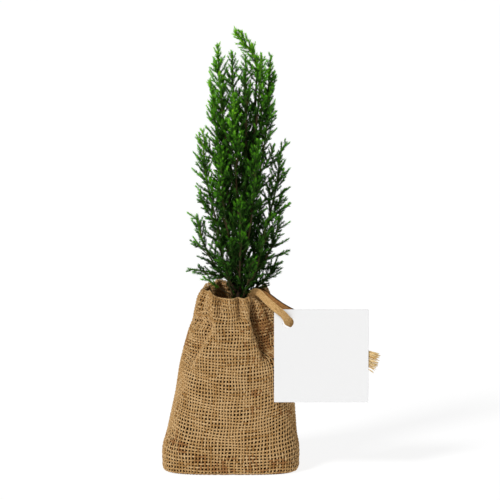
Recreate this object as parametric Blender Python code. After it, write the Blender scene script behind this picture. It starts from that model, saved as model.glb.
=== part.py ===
"""A young conifer with its root ball tied in a burlap sack, with a cord and a bare card tag.

Metres, +Z up. The origin is the centre of the sack's flat underside, and -Y is the front.
Every plume of foliage is a solid of its own: toothed sprays that branch from one stem by a seeded rule.
"""

import math
import random

import bmesh
import bpy
import numpy as np
from mathutils import Vector

MM = 0.001
CLEAR = 0.35 * MM  # gap kept between neighbouring pieces

# The sack: (height, half width, half depth, sideways shift of the section), in mm
SACK_SECTIONS = (
    (0.0, 44.9, 24.4, 0.1),
    (1.6, 46.8, 26.2, 0.1),
    (6.0, 47.4, 27.2, 0.1),
    (17.0, 47.4, 28.4, 0.2),
    (24.0, 45.7, 28.6, 0.6),
    (39.0, 43.4, 28.2, 1.7),
    (55.0, 41.1, 27.6, 2.8),
    (76.0, 38.3, 26.4, 3.4),
    (91.0, 35.2, 24.8, 3.9),
    (102.0, 32.2, 22.8, 4.2),
    (112.0, 28.0, 20.0, 4.0),
    (119.0, 23.9, 17.6, 2.9),
    (123.5, 20.4, 16.0, 2.7),
)
SACK_HEIGHT = 123.5 * MM
SACK_WALL = 1.5 * MM
SACK_SQUARENESS = 2.35  # exponent of the section: 2 is an ellipse, more is squarer
SACK_SIDES = 48
SHARP_ANGLE = 50.0  # edges with more than this between their faces are shaded sharp
FOOT_SHARES = (0.0, 0.013, 0.048)  # of the height, for the rows round the sack's foot
LOWEST_SHARE = 0.11  # of the height, for the first of the rows above them
OUTER_ROWS = 10
INNER_ROWS = 8
HEM_WALL = 2.4 * MM  # the rim is a folded hem
HEM_START = 0.9  # share of the height where it begins
HEM_ROUNDING = 0.2 * MM

# Pleats drawn in by the cord: (angle, depth in mm, half width in degrees, share of the height where it fades)
PLEATS = (
    (-62, 5.0, 8, 0.58),
    (-82, 2.4, 7, 0.80),
    (-112, 1.6, 7, 0.78),
    (-147, 2.4, 8, 0.74),
    (-172, 1.6, 8, 0.72),
    (157, 1.2, 8, 0.74),
    (128, 3.2, 9, 0.66),
    (100, 2.4, 8, 0.74),
    (72, 3.4, 9, 0.64),
    (43, 2.6, 8, 0.74),
    (14, 3.0, 9, 0.70),
    (-24, 2.8, 9, 0.72),
)
# Short tucks across the cloth: (angle, height, depth, half width in degrees, half height), in mm
TUCKS = ((-168, 105.0, 4.2, 14, 3.2), (150, 92.0, 2.0, 16, 4.0), (-30, 96.0, 2.2, 14, 5.0))
# Where the rim stands up into lobes: (angle, lift in mm, half width in degrees)
RIM_LOBES = ((120, 8.8, 48), (-160, 4.5, 26), (-133, 4.5, 9), (27, 7.0, 8), (-40, 0.8, 14))
RIM_RISE_START = 0.78  # share of the height where the lobes begin to lift the cloth

ROOT_BALL_SIDES = 32
ROOT_BALL_ROWS = 6
ROOT_BALL_SLACK = 0.8 * MM  # the cloth hangs this much looser round the soil
SOIL_HEIGHT = 110.0 * MM

# The trunk's centre line, in mm, from the soil to where the leading plume takes over
TRUNK_LINE = (
    (5.5, 1.0, 110.4),
    (7.5, 0.5, 150.0),
    (10.5, -0.5, 195.0),
    (15.5, -0.5, 232.0),
    (17.8, 0.0, 268.0),
)
TRUNK_RADIUS = 2.5 * MM
TRUNK_TIP_RADIUS = 0.8 * MM
TRUNK_FLARE = 1.1 * MM
FLARE_HEIGHT = 6.0 * MM
FLARE_RING = 0.35  # where one more ring shapes the flare, as a share of the first piece of the trunk
TRUNK_SIDES = 8
TRUNK_RINGS = 14

# The crown's outline from the front: (height, left edge, right edge), in mm
CROWN_OUTLINE = (
    (120, 2, 15),
    (126, 0, 22),
    (133, -6, 29),
    (138, -16, 31),
    (142, -28, 34),
    (160, -26, 38),
    (176, -28, 40),
    (190, -22, 41),
    (205, -22, 38),
    (222, -24, 39),
    (232, -23, 38),
    (240, -17, 33),
    (256, -14, 31),
    (275, -15, 29),
    (292, -12, 29),
    (300, -9, 23),
    (308, 1, 13),
    (314, 1, 4),
)
CROWN_DEPTH = 0.85  # of its width
CROWN_MARGIN = 1.12  # a spray may pass the outline by this much
CROWN_X = 7.0 * MM  # its middle line stands here, beside the leaning trunk

# Plumes, by tier: the share of the path that is bare bough, and one row for each plume, in mm and degrees:
# (height of its foot on the trunk, azimuth, reach from the crown's middle, height of its tip)
TIERS = {
    "leader": (
        0.10,
        (
            (182, 182, 15.5, 297),
            (199, 158, 6.4, 292),
            (204, -66, 9, 290),
            (222, 4, 21.0, 289),
            (232, -34, 17.0, 291),
        ),
    ),
    "high": (
        0.10,
        (
            (166, 176, 19, 268),
            (156, -108, 14, 260),
            (172, -12, 20, 266),
            (165, 78, 15, 264),
        ),
    ),
    "middle": (
        0.10,
        (
            (141, 183, 26, 230),
            (136, -136, 19, 223),
            (144, -56, 20, 229),
            (139, 2, 28, 225),
            (140, 60, 20, 226),
            (143, 124, 20, 234),
        ),
    ),
    "low": (
        0.08,
        (
            (128, 178, 30, 177),
            (123, -150, 19, 176),
            (125, -90, 20, 190),
            (122, -32, 21, 178),
            (128, 0, 28, 184),
            (126, 52, 22, 184),
            (129, 116, 22, 190),
        ),
    ),
    "skirt": (
        0.0,
        (
            (136, 194, 28, 142),
            (117, -120, 20, 148),
            (118, -70, 20, 148),
            (122, 4, 26, 151),
            (121, 50, 19, 144),
            (120, 112, 21, 152),
        ),
    ),
}
# A plume's path leaves the trunk and meets its tip by these shares of its (spread, rise)
LEAVING = (0.50, 0.18)
ARRIVING = (0.10, 0.45)
LEADER_TIP = (3.8, 0.0, 307.6)
LEADER_BEND = (17.5, 0.0, 289.0)

BOUGH_RADIUS = 1.15 * MM
BOUGH_TIP_RADIUS = 0.85 * MM
STEM_RADIUS = 0.75 * MM
STEM_TIP_RADIUS = 0.35 * MM
START_STEP = 0.1 * MM  # steps by which the place is found where a stem clears the trunk
# Share of its own radius by which a leaning foot may turn its rim to the trunk: a bough's, and a bare stem's
BOUGH_SINK = 0.8
STEM_SINK = 0.4
BOUGH_SIDES = 6
STEP = 11.0 * MM  # length of one straight piece of a stem
PATH_STEPS = 24  # points worked out along a curve before it is cut into such pieces
CURVE_STEPS = 16  # the same between two given points of a curve

# Sprays: toothed blades set round each stem
SPRAY_PITCH = (4.5 * MM, 2.9 * MM)  # at the foot of a plume, and at its tip
SPRAY_LENGTH = 24.0 * MM  # the longest, near the foot of a plume
SPRAY_SHORTEST = 12.0 * MM  # at its tip
SPRAY_GROWTH = 0.42  # what the length gains for each millimetre down from the tip
SPRAY_FIRST = 2.5 * MM  # above the stem's foot
SPRAY_LAST = 1.5 * MM  # below its tip
SPRAY_ANGLE = 40.0
SPRAY_CLOSING = 12.0  # by how much less the sprays lean out at the tip
SPRAY_SWAY = 6.0
SPRAY_ROLL = 30.0
SPRAY_VARIES = (0.85, 1.15)
SPRAY_HALF_WIDTH = 5.0 * MM
SPRAY_WIDTH_SHARE = 0.3  # a short spray is no wider than this share of its length, to each side
SPRAY_HALF_THICKNESS = 0.5 * MM
SPRAY_RIDGE = 0.46  # share of the length where it is thickest
SPINE_SHARES = (0.125, 0.25, 0.375, 0.5, 0.625, 0.75, 0.875)  # where its middle line is tested too
SPRAY_OUTLINE = ((0, 0), (0.36, 1.0), (0.52, 0.42), (1, 0), (0.70, -0.74), (0.48, -0.36), (0.20, -0.9))
GOLDEN_ANGLE = 137.5
# A spray that doesn't fit is tried again, then skipped: (share of its length, share of its angle)
TRIES = ((1.0, 1.0), (1.0, 0.7), (0.85, 1.0), (0.85, 0.5), (0.65, 1.0), (0.65, 0.6), (0.45, 1.0))
SEED = 7
# Foliage stays this far above the rim, and above the soil inside the mouth
OVER_RIM = 2.0 * MM
OVER_SOIL = 1.5 * MM
MOUTH_SHARE = 0.62  # share of the mouth's width that counts as inside it

# The cords and the tag
CORD_HALF_WIDTH = 2.5 * MM
CORD_HALF_THICKNESS = 0.8 * MM
CORD_RUN_FRONT = (
    (13.4, -5.4, 121.4),
    (15.2, -7.7, 126.2),
    (19.3, -12.8, 127.6),
    (24.8, -20.6, 123.8),
    (31.2, -26.0, 118.9),
    (36.4, -27.0, 114.75),
    (39.2, -26.6, 111.15),
    (40.6, -24.0, 109.15),
    (42.6, -22.1, 107.55),
    (51.6, -22.0, 102.35),
    (68.0, -22.0, 92.6),
    (85.5, -22.0, 83.6),
)
CORD_RUN_BACK = (
    (15.8, -0.2, 121.2),
    (18.0, -3.5, 125.8),
    (21.4, -8.2, 127.6),
    (27.6, -15.0, 124.0),
    (35.0, -20.6, 119.8),
    (46.0, -22.0, 113.4),
    (60.0, -22.0, 104.8),
    (76.0, -22.0, 94.9),
    (86.5, -22.0, 89.2),
)
CORD_RUNS = {"cord_front": CORD_RUN_FRONT, "cord_back": CORD_RUN_BACK}
CORD_POINTS = 24
CORD_SIDES = 6
TASSEL_LENGTH = 18.6 * MM
TASSEL_STRANDS = 5
TASSEL_GAP = 3 * CLEAR
STRAND_NOTCH = 0.6  # share of a strand's length where it parts from the next
STRAND_VARIES = 0.12  # every second strand is shorter by this
STRAND_THICKNESS = 0.8  # of the cord's
TASSEL_ROOT = 0.9  # its width where it begins, of the cord's
TASSEL_FANS = {"cord_front": (10, 34), "cord_back": (9, 22)}  # upper and lower edge, in degrees below level

TAG_SIDE = 65.8 * MM
TAG_THICKNESS = 0.6 * MM
TAG_CENTRE = (63.3 * MM, -24.0 * MM, 84.75 * MM)
TAG_HOLE_INSET = (9.7 * MM, 9.2 * MM)  # of the hole's centre from the tag's left and top edges
TAG_HOLE_RADIUS = 3.9 * MM
TAG_CORNER = 0.5 * MM
PUNCH_LENGTH = 6  # of the tag's thickness, for the piece that cuts the hole
HOLE_SIDES = 20


def new_material(name, colour, roughness, metallic=0.0):
    material = bpy.data.materials.new(name)
    material.use_nodes = True
    shader = material.node_tree.nodes["Principled BSDF"]
    shader.inputs["Base Color"].default_value = (*colour, 1.0)
    shader.inputs["Roughness"].default_value = roughness
    shader.inputs["Metallic"].default_value = metallic
    return material


def add_object(name, mesh, material):
    obj = bpy.data.objects.new(name, mesh)
    obj.data.materials.append(material)
    bpy.context.scene.collection.objects.link(obj)
    return obj


def loft(name, rings, material, smooth=True):
    """A closed solid through rings of equally many points, with a flat cap on the first and the last."""
    bm = bmesh.new()
    rows = [[bm.verts.new(point) for point in ring] for ring in rings]
    sides = len(rows[0])
    for low, high in zip(rows, rows[1:]):
        for i in range(sides):
            j = (i + 1) % sides
            bm.faces.new((low[i], low[j], high[j], high[i]))
    bm.faces.new(list(reversed(rows[0])))
    bm.faces.new(rows[-1])
    bmesh.ops.recalc_face_normals(bm, faces=bm.faces)
    mesh = bpy.data.meshes.new(name)
    bm.to_mesh(mesh)
    bm.free()
    if smooth:
        mesh.shade_smooth()
        mesh.set_sharp_from_angle(angle=math.radians(SHARP_ANGLE))
    return add_object(name, mesh, material)


def smooth_table(rows, at):
    """The columns of a table at this value of its first column, on a curve through its rows."""
    table = np.array(rows)
    keys = table[:, 0]
    slopes = np.gradient(table[:, 1:], keys, axis=0)
    i = int(np.clip(np.searchsorted(keys, at) - 1, 0, len(keys) - 2))
    span = keys[i + 1] - keys[i]
    t = min(max((at - keys[i]) / span, 0.0), 1.0)
    a, b = table[i, 1:], table[i + 1, 1:]
    return (
        a * (2 * t**3 - 3 * t**2 + 1)
        + slopes[i] * span * (t**3 - 2 * t**2 + t)
        + b * (3 * t**2 - 2 * t**3)
        + slopes[i + 1] * span * (t**3 - t**2)
    )


def run_lengths(points):
    """How far along the path each of its points lies."""
    return np.concatenate([[0.0], np.cumsum([(q - p).length for p, q in zip(points, points[1:])])])


def points_along(points, wanted):
    """The points of a path at these distances along it."""
    run = run_lengths(points)
    array = np.array(points)
    return [Vector([np.interp(w, run, array[:, k]) for k in range(3)]) for w in wanted]


def path_length(points):
    return run_lengths(points)[-1]


def curve_through(points, count):
    """This many points, evenly spaced, on a smooth curve through the given ones."""
    given = [Vector(p) for p in points]
    ends = [2 * given[0] - given[1], *given, 2 * given[-1] - given[-2]]
    fine = []
    for a, b, c, d in zip(ends, ends[1:], ends[2:], ends[3:]):
        square = 2 * a - 5 * b + 4 * c - d
        cube = 3 * b - a - 3 * c + d
        for k in range(CURVE_STEPS):
            t = k / CURVE_STEPS
            fine.append(0.5 * (2 * b + (c - a) * t + square * t**2 + cube * t**3))
    fine.append(given[-1])
    return points_along(fine, np.linspace(0.0, path_length(fine), count))


def bump(angle, centre, half_width):
    """1 at the centre angle, falling off smoothly to each side, in degrees."""
    off = (angle - centre + 180.0) % 360.0 - 180.0
    return math.exp(-((off / half_width) ** 2))


def fade(value, start, end):
    """0 at start, 1 at end, smooth between them."""
    t = min(max((value - start) / (end - start), 0.0), 1.0)
    return t * t * (3 - 2 * t)


def rim_lift(angle):
    return sum(lift * bump(angle, at, wide) for at, lift, wide in RIM_LOBES) * MM


def sack_point(angle, share, inset=0.0, pleated=True):
    """A point of the sack at this angle in degrees, and this share of its height, moved in by inset."""
    level = share * SACK_HEIGHT / MM
    half_width, half_depth, shift = smooth_table(SACK_SECTIONS, level) * MM
    drawn = 0.0
    if pleated:
        for at, depth, wide, low in PLEATS:
            drawn += depth * MM * bump(angle, at, wide) * fade(share, low, 1.0)
        for at, middle, depth, wide, tall in TUCKS:
            drawn += depth * MM * bump(angle, at, wide) * math.exp(-(((level - middle) / tall) ** 2))
    turn = math.radians(angle)
    power = 2 / SACK_SQUARENESS
    c, s = math.cos(turn), math.sin(turn)
    x = half_width * math.copysign(abs(c) ** power, c)
    y = half_depth * math.copysign(abs(s) ** power, s)
    far = math.hypot(x, y)
    keep = (far - drawn - inset) / far
    height = share * SACK_HEIGHT + rim_lift(angle) * fade(share, RIM_RISE_START, 1.0)
    return Vector((shift + x * keep, y * keep, height))


def angles(sides):
    return [360.0 * i / sides for i in range(sides)]


def make_sack(material):
    turns = angles(SACK_SIDES)
    rises = [*FOOT_SHARES, *np.linspace(LOWEST_SHARE, 1.0, OUTER_ROWS)]
    rings = [[sack_point(a, r) for a in turns] for r in rises]
    for r in np.linspace(1.0, SACK_WALL / SACK_HEIGHT, INNER_ROWS):
        wall = SACK_WALL + (HEM_WALL - SACK_WALL) * fade(r, HEM_START, 1.0)
        rings.append([sack_point(a, r, inset=wall) for a in turns])
    first_inner = len(rises)
    for point in rings[first_inner]:
        point.z -= HEM_ROUNDING
    for point in rings[-1]:
        point.z = SACK_WALL
    return loft("sack", rings, material)


def make_root_ball(material):
    turns = angles(ROOT_BALL_SIDES)
    low = (SACK_WALL + CLEAR) / SACK_HEIGHT
    rings = []
    for r in np.linspace(low, SOIL_HEIGHT / SACK_HEIGHT, ROOT_BALL_ROWS):
        deepest = max(depth * fade(r, fades, 1.0) for _, depth, _, fades in PLEATS) * MM
        inset = SACK_WALL + CLEAR + deepest + ROOT_BALL_SLACK
        ring = [sack_point(a, r, inset, pleated=False) for a in turns]
        for point in ring:
            point.z = r * SACK_HEIGHT
        rings.append(ring)
    return loft("root_ball", rings, material)


def tube_rings(path, radii, sides):
    """Rings square to the path, with flat ends."""
    rings = []
    across = None
    for i, point in enumerate(path):
        ahead = path[min(i + 1, len(path) - 1)] - path[max(i - 1, 0)]
        tangent = ahead.normalized()
        if across is None:
            across = tangent.orthogonal().normalized()
        across = (across - tangent * across.dot(tangent)).normalized()
        side = tangent.cross(across)
        turns = [2 * math.pi * k / sides for k in range(sides)]
        rings.append([point + (across * math.cos(a) + side * math.sin(a)) * radii[i] for a in turns])
    return rings


def trunk_path():
    return curve_through([Vector(p) * MM for p in TRUNK_LINE], TRUNK_RINGS)


def trunk_radius(height):
    foot, tip = TRUNK_LINE[0][2] * MM, TRUNK_LINE[-1][2] * MM
    share = (height - foot) / (tip - foot)
    flare = TRUNK_FLARE * math.exp(-(height - foot) / FLARE_HEIGHT)
    return TRUNK_RADIUS + (TRUNK_TIP_RADIUS - TRUNK_RADIUS) * share + flare


def make_trunk(material):
    path = trunk_path()
    path.insert(1, path[0] + (path[1] - path[0]) * FLARE_RING)
    rings = tube_rings(path, [trunk_radius(p.z) for p in path], TRUNK_SIDES)
    for point in rings[0]:
        point.z = TRUNK_LINE[0][2] * MM
    return loft("trunk", rings, material)


def trunk_at(height):
    path = trunk_path()
    heights = [p.z for p in path]
    return Vector([np.interp(height, heights, [p[k] for p in path]) for k in range(3)])


def trunk_distance(point, trunk_line):
    return distance_to(np.array(point), np.array(trunk_line[:-1]), np.array(trunk_line[1:])).min()


def plume_path(foot_height, azimuth, reach, tip_height):
    """A stem that leaves the trunk outwards and then climbs to its tip."""
    foot = trunk_at(foot_height * MM)
    turn = math.radians(azimuth)
    outward = Vector((math.cos(turn), math.sin(turn), 0))
    tip = Vector((CROWN_X, 0, tip_height * MM)) + outward * reach * MM
    across = Vector((tip.x - foot.x, tip.y - foot.y, 0))
    rise = tip.z - foot.z
    first = foot + across * LEAVING[0] + Vector((0, 0, rise * LEAVING[1]))
    second = tip - across * ARRIVING[0] - Vector((0, 0, rise * ARRIVING[1]))
    points = []
    for k in range(PATH_STEPS + 1):
        t = k / PATH_STEPS
        s = 1 - t
        points.append(foot * s**3 + first * 3 * t * s**2 + second * 3 * t**2 * s + tip * t**3)
    return points


def cut_path(points, start, end=None):
    """The part of a path from start to end, measured along it, in pieces of about STEP."""
    end = path_length(points) if end is None else end
    count = max(3, round((end - start) / STEP) + 1)
    return points_along(points, np.linspace(start, end, count))


def distance_to(point, starts, ends):
    """Distances from a point to many straight pieces."""
    along = ends - starts
    t = np.clip(((point - starts) * along).sum(1) / (along * along).sum(1), 0, 1)
    return np.linalg.norm(starts + along * t[:, None] - point, axis=1)


class Limbs:
    """All stems, boughs and the trunk as straight pieces, as a plume keeps to its own space."""

    def __init__(self):
        self.starts, self.ends, self.radii, self.owners, self.wood = [], [], [], [], []

    def add(self, owner, path, radii, wood):
        for i in range(len(path) - 1):
            self.starts.append(path[i])
            self.ends.append(path[i + 1])
            self.radii.append(max(radii[i], radii[i + 1]))
            self.owners.append(owner)
            self.wood.append(wood)

    def close(self):
        self.starts, self.ends = np.array(self.starts), np.array(self.ends)
        self.radii, self.owners = np.array(self.radii), np.array(self.owners)
        self.wood = np.array(self.wood)

    def free(self, owner, points):
        """True if all points are nearest to their own stem, and clear of the trunk and boughs."""
        mine = self.owners == owner
        for point in points:
            away = distance_to(np.array(point), self.starts, self.ends)
            own = away[mine].min()
            others = ~mine & ~self.wood
            if others.any() and own > away[others].min() - 2 * CLEAR:
                return False
            if (away[self.wood] - self.radii[self.wood]).min() < 2 * CLEAR:
                return False
        return True


def clear_of_sack(point):
    """True if a point is above the soil inside the mouth, and above the rim over and outside it."""
    half_width, half_depth, shift = smooth_table(SACK_SECTIONS, SACK_HEIGHT / MM) * MM
    across, deep = (point.x - shift) / half_width, point.y / half_depth
    if math.hypot(across, deep) > MOUTH_SHARE:
        return point.z > SACK_HEIGHT + rim_lift(math.degrees(math.atan2(deep, across))) + OVER_RIM
    return point.z > SOIL_HEIGHT + OVER_SOIL


def inside_crown(point):
    left, right = smooth_table(CROWN_OUTLINE, point.z / MM) * MM
    half = (right - left) / 2
    return math.hypot((point.x - left - half) / half, point.y / (half * CROWN_DEPTH)) < CROWN_MARGIN


def spray_mesh(root, along, across, length):
    """A thin toothed blade, with a ridge point above and below, and the points by which it is judged."""
    half_width = min(SPRAY_HALF_WIDTH, length * SPRAY_WIDTH_SHARE)
    up = along.cross(across).normalized()
    bm = bmesh.new()
    rim = [bm.verts.new(root + along * u * length + across * w * half_width) for u, w in SPRAY_OUTLINE]
    middle = root + along * SPRAY_RIDGE * length
    above = bm.verts.new(middle + up * SPRAY_HALF_THICKNESS)
    below = bm.verts.new(middle - up * SPRAY_HALF_THICKNESS)
    for a, b in zip(rim, rim[1:] + rim[:1]):
        bm.faces.new((a, b, above))
        bm.faces.new((b, a, below))
    bmesh.ops.recalc_face_normals(bm, faces=bm.faces)
    mesh = bpy.data.meshes.new("spray")
    bm.to_mesh(mesh)
    bm.free()
    spine = [root + along * length * share for share in SPINE_SHARES]
    return mesh, [v.co.copy() for v in mesh.vertices] + spine


def fuse(obj, others, material):
    """Joins the others to obj by one Boolean union, applies it, and removes them."""
    collection = bpy.data.collections.new(obj.name + "_sprays")
    bpy.context.scene.collection.children.link(collection)
    for other in others:
        collection.objects.link(other)
    union = obj.modifiers.new("union", "BOOLEAN")
    union.operation = "UNION"
    union.operand_type = "COLLECTION"
    union.collection = collection
    union.solver = "EXACT"
    bpy.context.view_layer.update()
    fused = bpy.data.meshes.new_from_object(obj.evaluated_get(bpy.context.evaluated_depsgraph_get()))
    obj.modifiers.clear()
    obj.data = fused
    obj.data.materials.clear()
    obj.data.materials.append(material)
    for other in others:
        bpy.data.objects.remove(other)
    bpy.data.collections.remove(collection)
    keep_largest_shell(obj.data)


def keep_largest_shell(mesh):
    """Drops loose scraps and fills sealed hollows: only the shell with the most faces stays."""
    bm = bmesh.new()
    bm.from_mesh(mesh)
    bm.faces.ensure_lookup_table()
    seen, shells = set(), []
    for face in bm.faces:
        if face in seen:
            continue
        shell, queue = [], [face]
        seen.add(face)
        while queue:
            this = queue.pop()
            shell.append(this)
            for edge in this.edges:
                for linked in edge.link_faces:
                    if linked not in seen:
                        seen.add(linked)
                        queue.append(linked)
        shells.append(shell)
    shells.sort(key=len)
    for shell in shells[:-1]:
        bmesh.ops.delete(bm, geom=shell, context="FACES")
    bm.to_mesh(mesh)
    bm.free()


def taper(start, end, count):
    return np.linspace(start, end, count).tolist()


def fitting_spray(name, root, tangent, outward, lean, roll, full, limbs):
    """The first of the tries that stays in its space, or None."""
    flat = tangent.cross(outward).normalized()
    for portion, bend in TRIES:
        along = (tangent * math.cos(lean * bend) + outward * math.sin(lean * bend)).normalized()
        across = flat * math.cos(roll) + flat.cross(along) * math.sin(roll)
        mesh, points = spray_mesh(root, along, across, full * portion)
        if all(clear_of_sack(p) and inside_crown(p) for p in points) and limbs.free(name, points):
            return bpy.data.objects.new("spray", mesh)
        bpy.data.meshes.remove(mesh)
    return None


def make_plume(name, path, limbs, rng, material):
    """One mass of foliage: a three-sided stem with toothed sprays set round it by the golden angle."""
    radii = taper(STEM_RADIUS, STEM_TIP_RADIUS, len(path))
    stem = loft(name, tube_rings(path, radii, 3), material, smooth=False)
    run = run_lengths(path)
    total = run[-1]
    sprays = []
    turn = rng.uniform(0, 360)
    at = SPRAY_FIRST
    while at < total - SPRAY_LAST:
        share = at / total
        i = min(int(np.searchsorted(run, at)), len(path) - 1)
        tangent = (path[i] - path[i - 1]).normalized()
        aside = tangent.orthogonal().normalized()
        azimuth = math.radians(turn)
        outward = aside * math.cos(azimuth) + tangent.cross(aside) * math.sin(azimuth)
        lean = math.radians(SPRAY_ANGLE - SPRAY_CLOSING * share + rng.uniform(-SPRAY_SWAY, SPRAY_SWAY))
        roll = math.radians(rng.uniform(-SPRAY_ROLL, SPRAY_ROLL))
        full = min(SPRAY_LENGTH, SPRAY_SHORTEST + SPRAY_GROWTH * (total - at)) * rng.uniform(*SPRAY_VARIES)
        root = points_along(path, [at])[0]
        spray = fitting_spray(name, root, tangent, outward, lean, roll, full, limbs)
        if spray:
            sprays.append(spray)
        at += (SPRAY_PITCH[0] + (SPRAY_PITCH[1] - SPRAY_PITCH[0]) * share) * rng.uniform(*SPRAY_VARIES)
        turn += GOLDEN_ANGLE
    fuse(stem, sprays, material)
    return stem


def stem_start(points, sunk, trunk_line):
    """How far along its path a stem is clear of the trunk, with this much for its leaning foot."""
    gap = trunk_radius(points[0].z) + CLEAR + sunk
    start = 0.0
    while trunk_distance(points_along(points, [start])[0], trunk_line) < gap:
        start += START_STEP
    return start


def top_path(trunk_line):
    """The leading shoot, from the trunk's tip to its own, which nods over."""
    top = curve_through(
        [trunk_line[-2], trunk_line[-1], Vector(LEADER_BEND) * MM, Vector(LEADER_TIP) * MM],
        PATH_STEPS * 2,
    )
    return cut_path(top, path_length([trunk_line[-2], trunk_line[-1]]) + CLEAR)


def make_crown(foliage, bark):
    limbs = Limbs()
    trunk_line = trunk_path()
    limbs.add("trunk", trunk_line, [trunk_radius(p.z) for p in trunk_line], True)
    for name, run in CORD_RUNS.items():
        path = cord_path(run)
        limbs.add(name, path, [CORD_HALF_WIDTH] * len(path), True)
    plumes = {}
    for tier, (bare, rows) in TIERS.items():
        for n, row in enumerate(rows, 1):
            points = plume_path(*row)
            sunk = BOUGH_RADIUS * BOUGH_SINK if bare else STEM_RADIUS * STEM_SINK
            start = stem_start(points, sunk, trunk_line)
            if bare:
                bough_end = start + bare * path_length(points)
                bough = cut_path(points, start, bough_end)
                radii = taper(BOUGH_RADIUS, BOUGH_TIP_RADIUS, len(bough))
                name = f"bough_{tier}_{n}"
                loft(name, tube_rings(bough, radii, BOUGH_SIDES), bark)
                limbs.add(name, bough, radii, True)
                start = bough_end + CLEAR
            plumes[f"foliage_{tier}_{n}"] = cut_path(points, start)
    plumes["foliage_top"] = top_path(trunk_line)
    for name, stem in plumes.items():
        limbs.add(name, stem, taper(STEM_RADIUS, STEM_TIP_RADIUS, len(stem)), False)
    limbs.close()
    rng = random.Random(SEED)
    for name, stem in plumes.items():
        make_plume(name, stem, limbs, rng, foliage)


def ribbon(name, path, material):
    """A flat cord: a rounded section swept with its flat side to the front."""
    section = [(math.cos(math.radians(a)), math.sin(math.radians(a))) for a in angles(CORD_SIDES)]
    rings = []
    for i, point in enumerate(path):
        tangent = (path[min(i + 1, len(path) - 1)] - path[max(i - 1, 0)]).normalized()
        side = Vector((-tangent.z, 0, tangent.x)).normalized()
        normal = tangent.cross(side)
        ring = [point + side * c * CORD_HALF_WIDTH + normal * s * CORD_HALF_THICKNESS for c, s in section]
        rings.append(ring)
    return loft(name, rings, material)


def make_tassel(name, end, upper, lower, material):
    """The cord's frayed end: one toothed fan between two angles below level, as thick as the strands."""
    thick = CORD_HALF_THICKNESS * STRAND_THICKNESS
    tall = CORD_HALF_WIDTH * TASSEL_ROOT
    step = (lower - upper) / TASSEL_STRANDS
    slope = math.radians(-(upper + lower) / 2)
    outline = [(-math.sin(slope) * tall, math.cos(slope) * tall)]
    for k in range(TASSEL_STRANDS):
        middle = math.radians(-(upper + step * (k + 0.5)))
        edge = math.radians(-(upper + step * (k + 1)))
        long = TASSEL_LENGTH * (1.0 - STRAND_VARIES * (k % 2))
        outline.append((math.cos(middle) * long, math.sin(middle) * long))
        if k < TASSEL_STRANDS - 1:
            outline.append((math.cos(edge) * long * STRAND_NOTCH, math.sin(edge) * long * STRAND_NOTCH))
    outline.append((math.sin(slope) * tall, -math.cos(slope) * tall))
    rings = [[Vector((end.x + x, end.y + y, end.z + z)) for x, z in outline] for y in (-thick, thick)]
    return loft(name, rings, material, smooth=False)


def cord_path(run):
    return curve_through([Vector(p) * MM for p in run], CORD_POINTS)


def make_cords(material):
    for name, run in CORD_RUNS.items():
        path = cord_path(run)
        ribbon(name, path, material)
        last = path[-1] + (path[-1] - path[-2]).normalized() * TASSEL_GAP
        make_tassel(name.replace("cord", "tassel"), last, *TASSEL_FANS[name], material)


def make_tag(material):
    """A square card with small round corners and one hole."""
    bm = bmesh.new()
    half = TAG_SIDE / 2
    card = bmesh.ops.create_cube(bm, size=1.0)["verts"]
    bmesh.ops.scale(bm, vec=(TAG_SIDE, TAG_THICKNESS, TAG_SIDE), verts=card)
    corners = [e for e in bm.edges if abs(e.verts[0].co.y - e.verts[1].co.y) > TAG_THICKNESS / 2]
    bmesh.ops.bevel(bm, geom=corners, offset=TAG_CORNER, segments=3, affect="EDGES", profile=0.5)
    mesh = bpy.data.meshes.new("tag")
    bm.to_mesh(mesh)
    bm.free()
    tag = add_object("tag", mesh, material)
    tag.location = TAG_CENTRE
    bpy.ops.mesh.primitive_cylinder_add(
        vertices=HOLE_SIDES,
        radius=TAG_HOLE_RADIUS,
        depth=TAG_THICKNESS * PUNCH_LENGTH,
        location=(
            TAG_CENTRE[0] - half + TAG_HOLE_INSET[0],
            TAG_CENTRE[1],
            TAG_CENTRE[2] + half - TAG_HOLE_INSET[1],
        ),
        rotation=(math.pi / 2, 0, 0),
    )
    punch = bpy.context.object
    punch.name = "tag_hole_cutter"
    punch.hide_render = True
    punch.display_type = "WIRE"
    cut = tag.modifiers.new("hole", "BOOLEAN")
    cut.operation = "DIFFERENCE"
    cut.object = punch
    return tag


def main():
    for obj in list(bpy.data.objects):
        bpy.data.objects.remove(obj)
    burlap = new_material("burlap", (0.45, 0.28, 0.12), 0.95)
    soil = new_material("soil", (0.05, 0.03, 0.02), 1.0)
    bark = new_material("bark", (0.12, 0.07, 0.04), 0.9)
    foliage = new_material("foliage", (0.05, 0.17, 0.03), 0.6)
    cord = new_material("cord", (0.60, 0.40, 0.18), 0.9)
    card = new_material("card", (0.84, 0.84, 0.84), 0.8)
    make_sack(burlap)
    make_root_ball(soil)
    make_trunk(bark)
    make_crown(foliage, bark)
    make_cords(cord)
    make_tag(card)


main()
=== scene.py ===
"""Looks for a young conifer with its root ball tied in a burlap sack.

Lengths are in millimetres until a mesh is made. -Y is the front. The driving dimensions and the rule by which
the plumes grow are those of the solids, repeated here because this script reads only the frame.
"""

import math
import random

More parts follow.
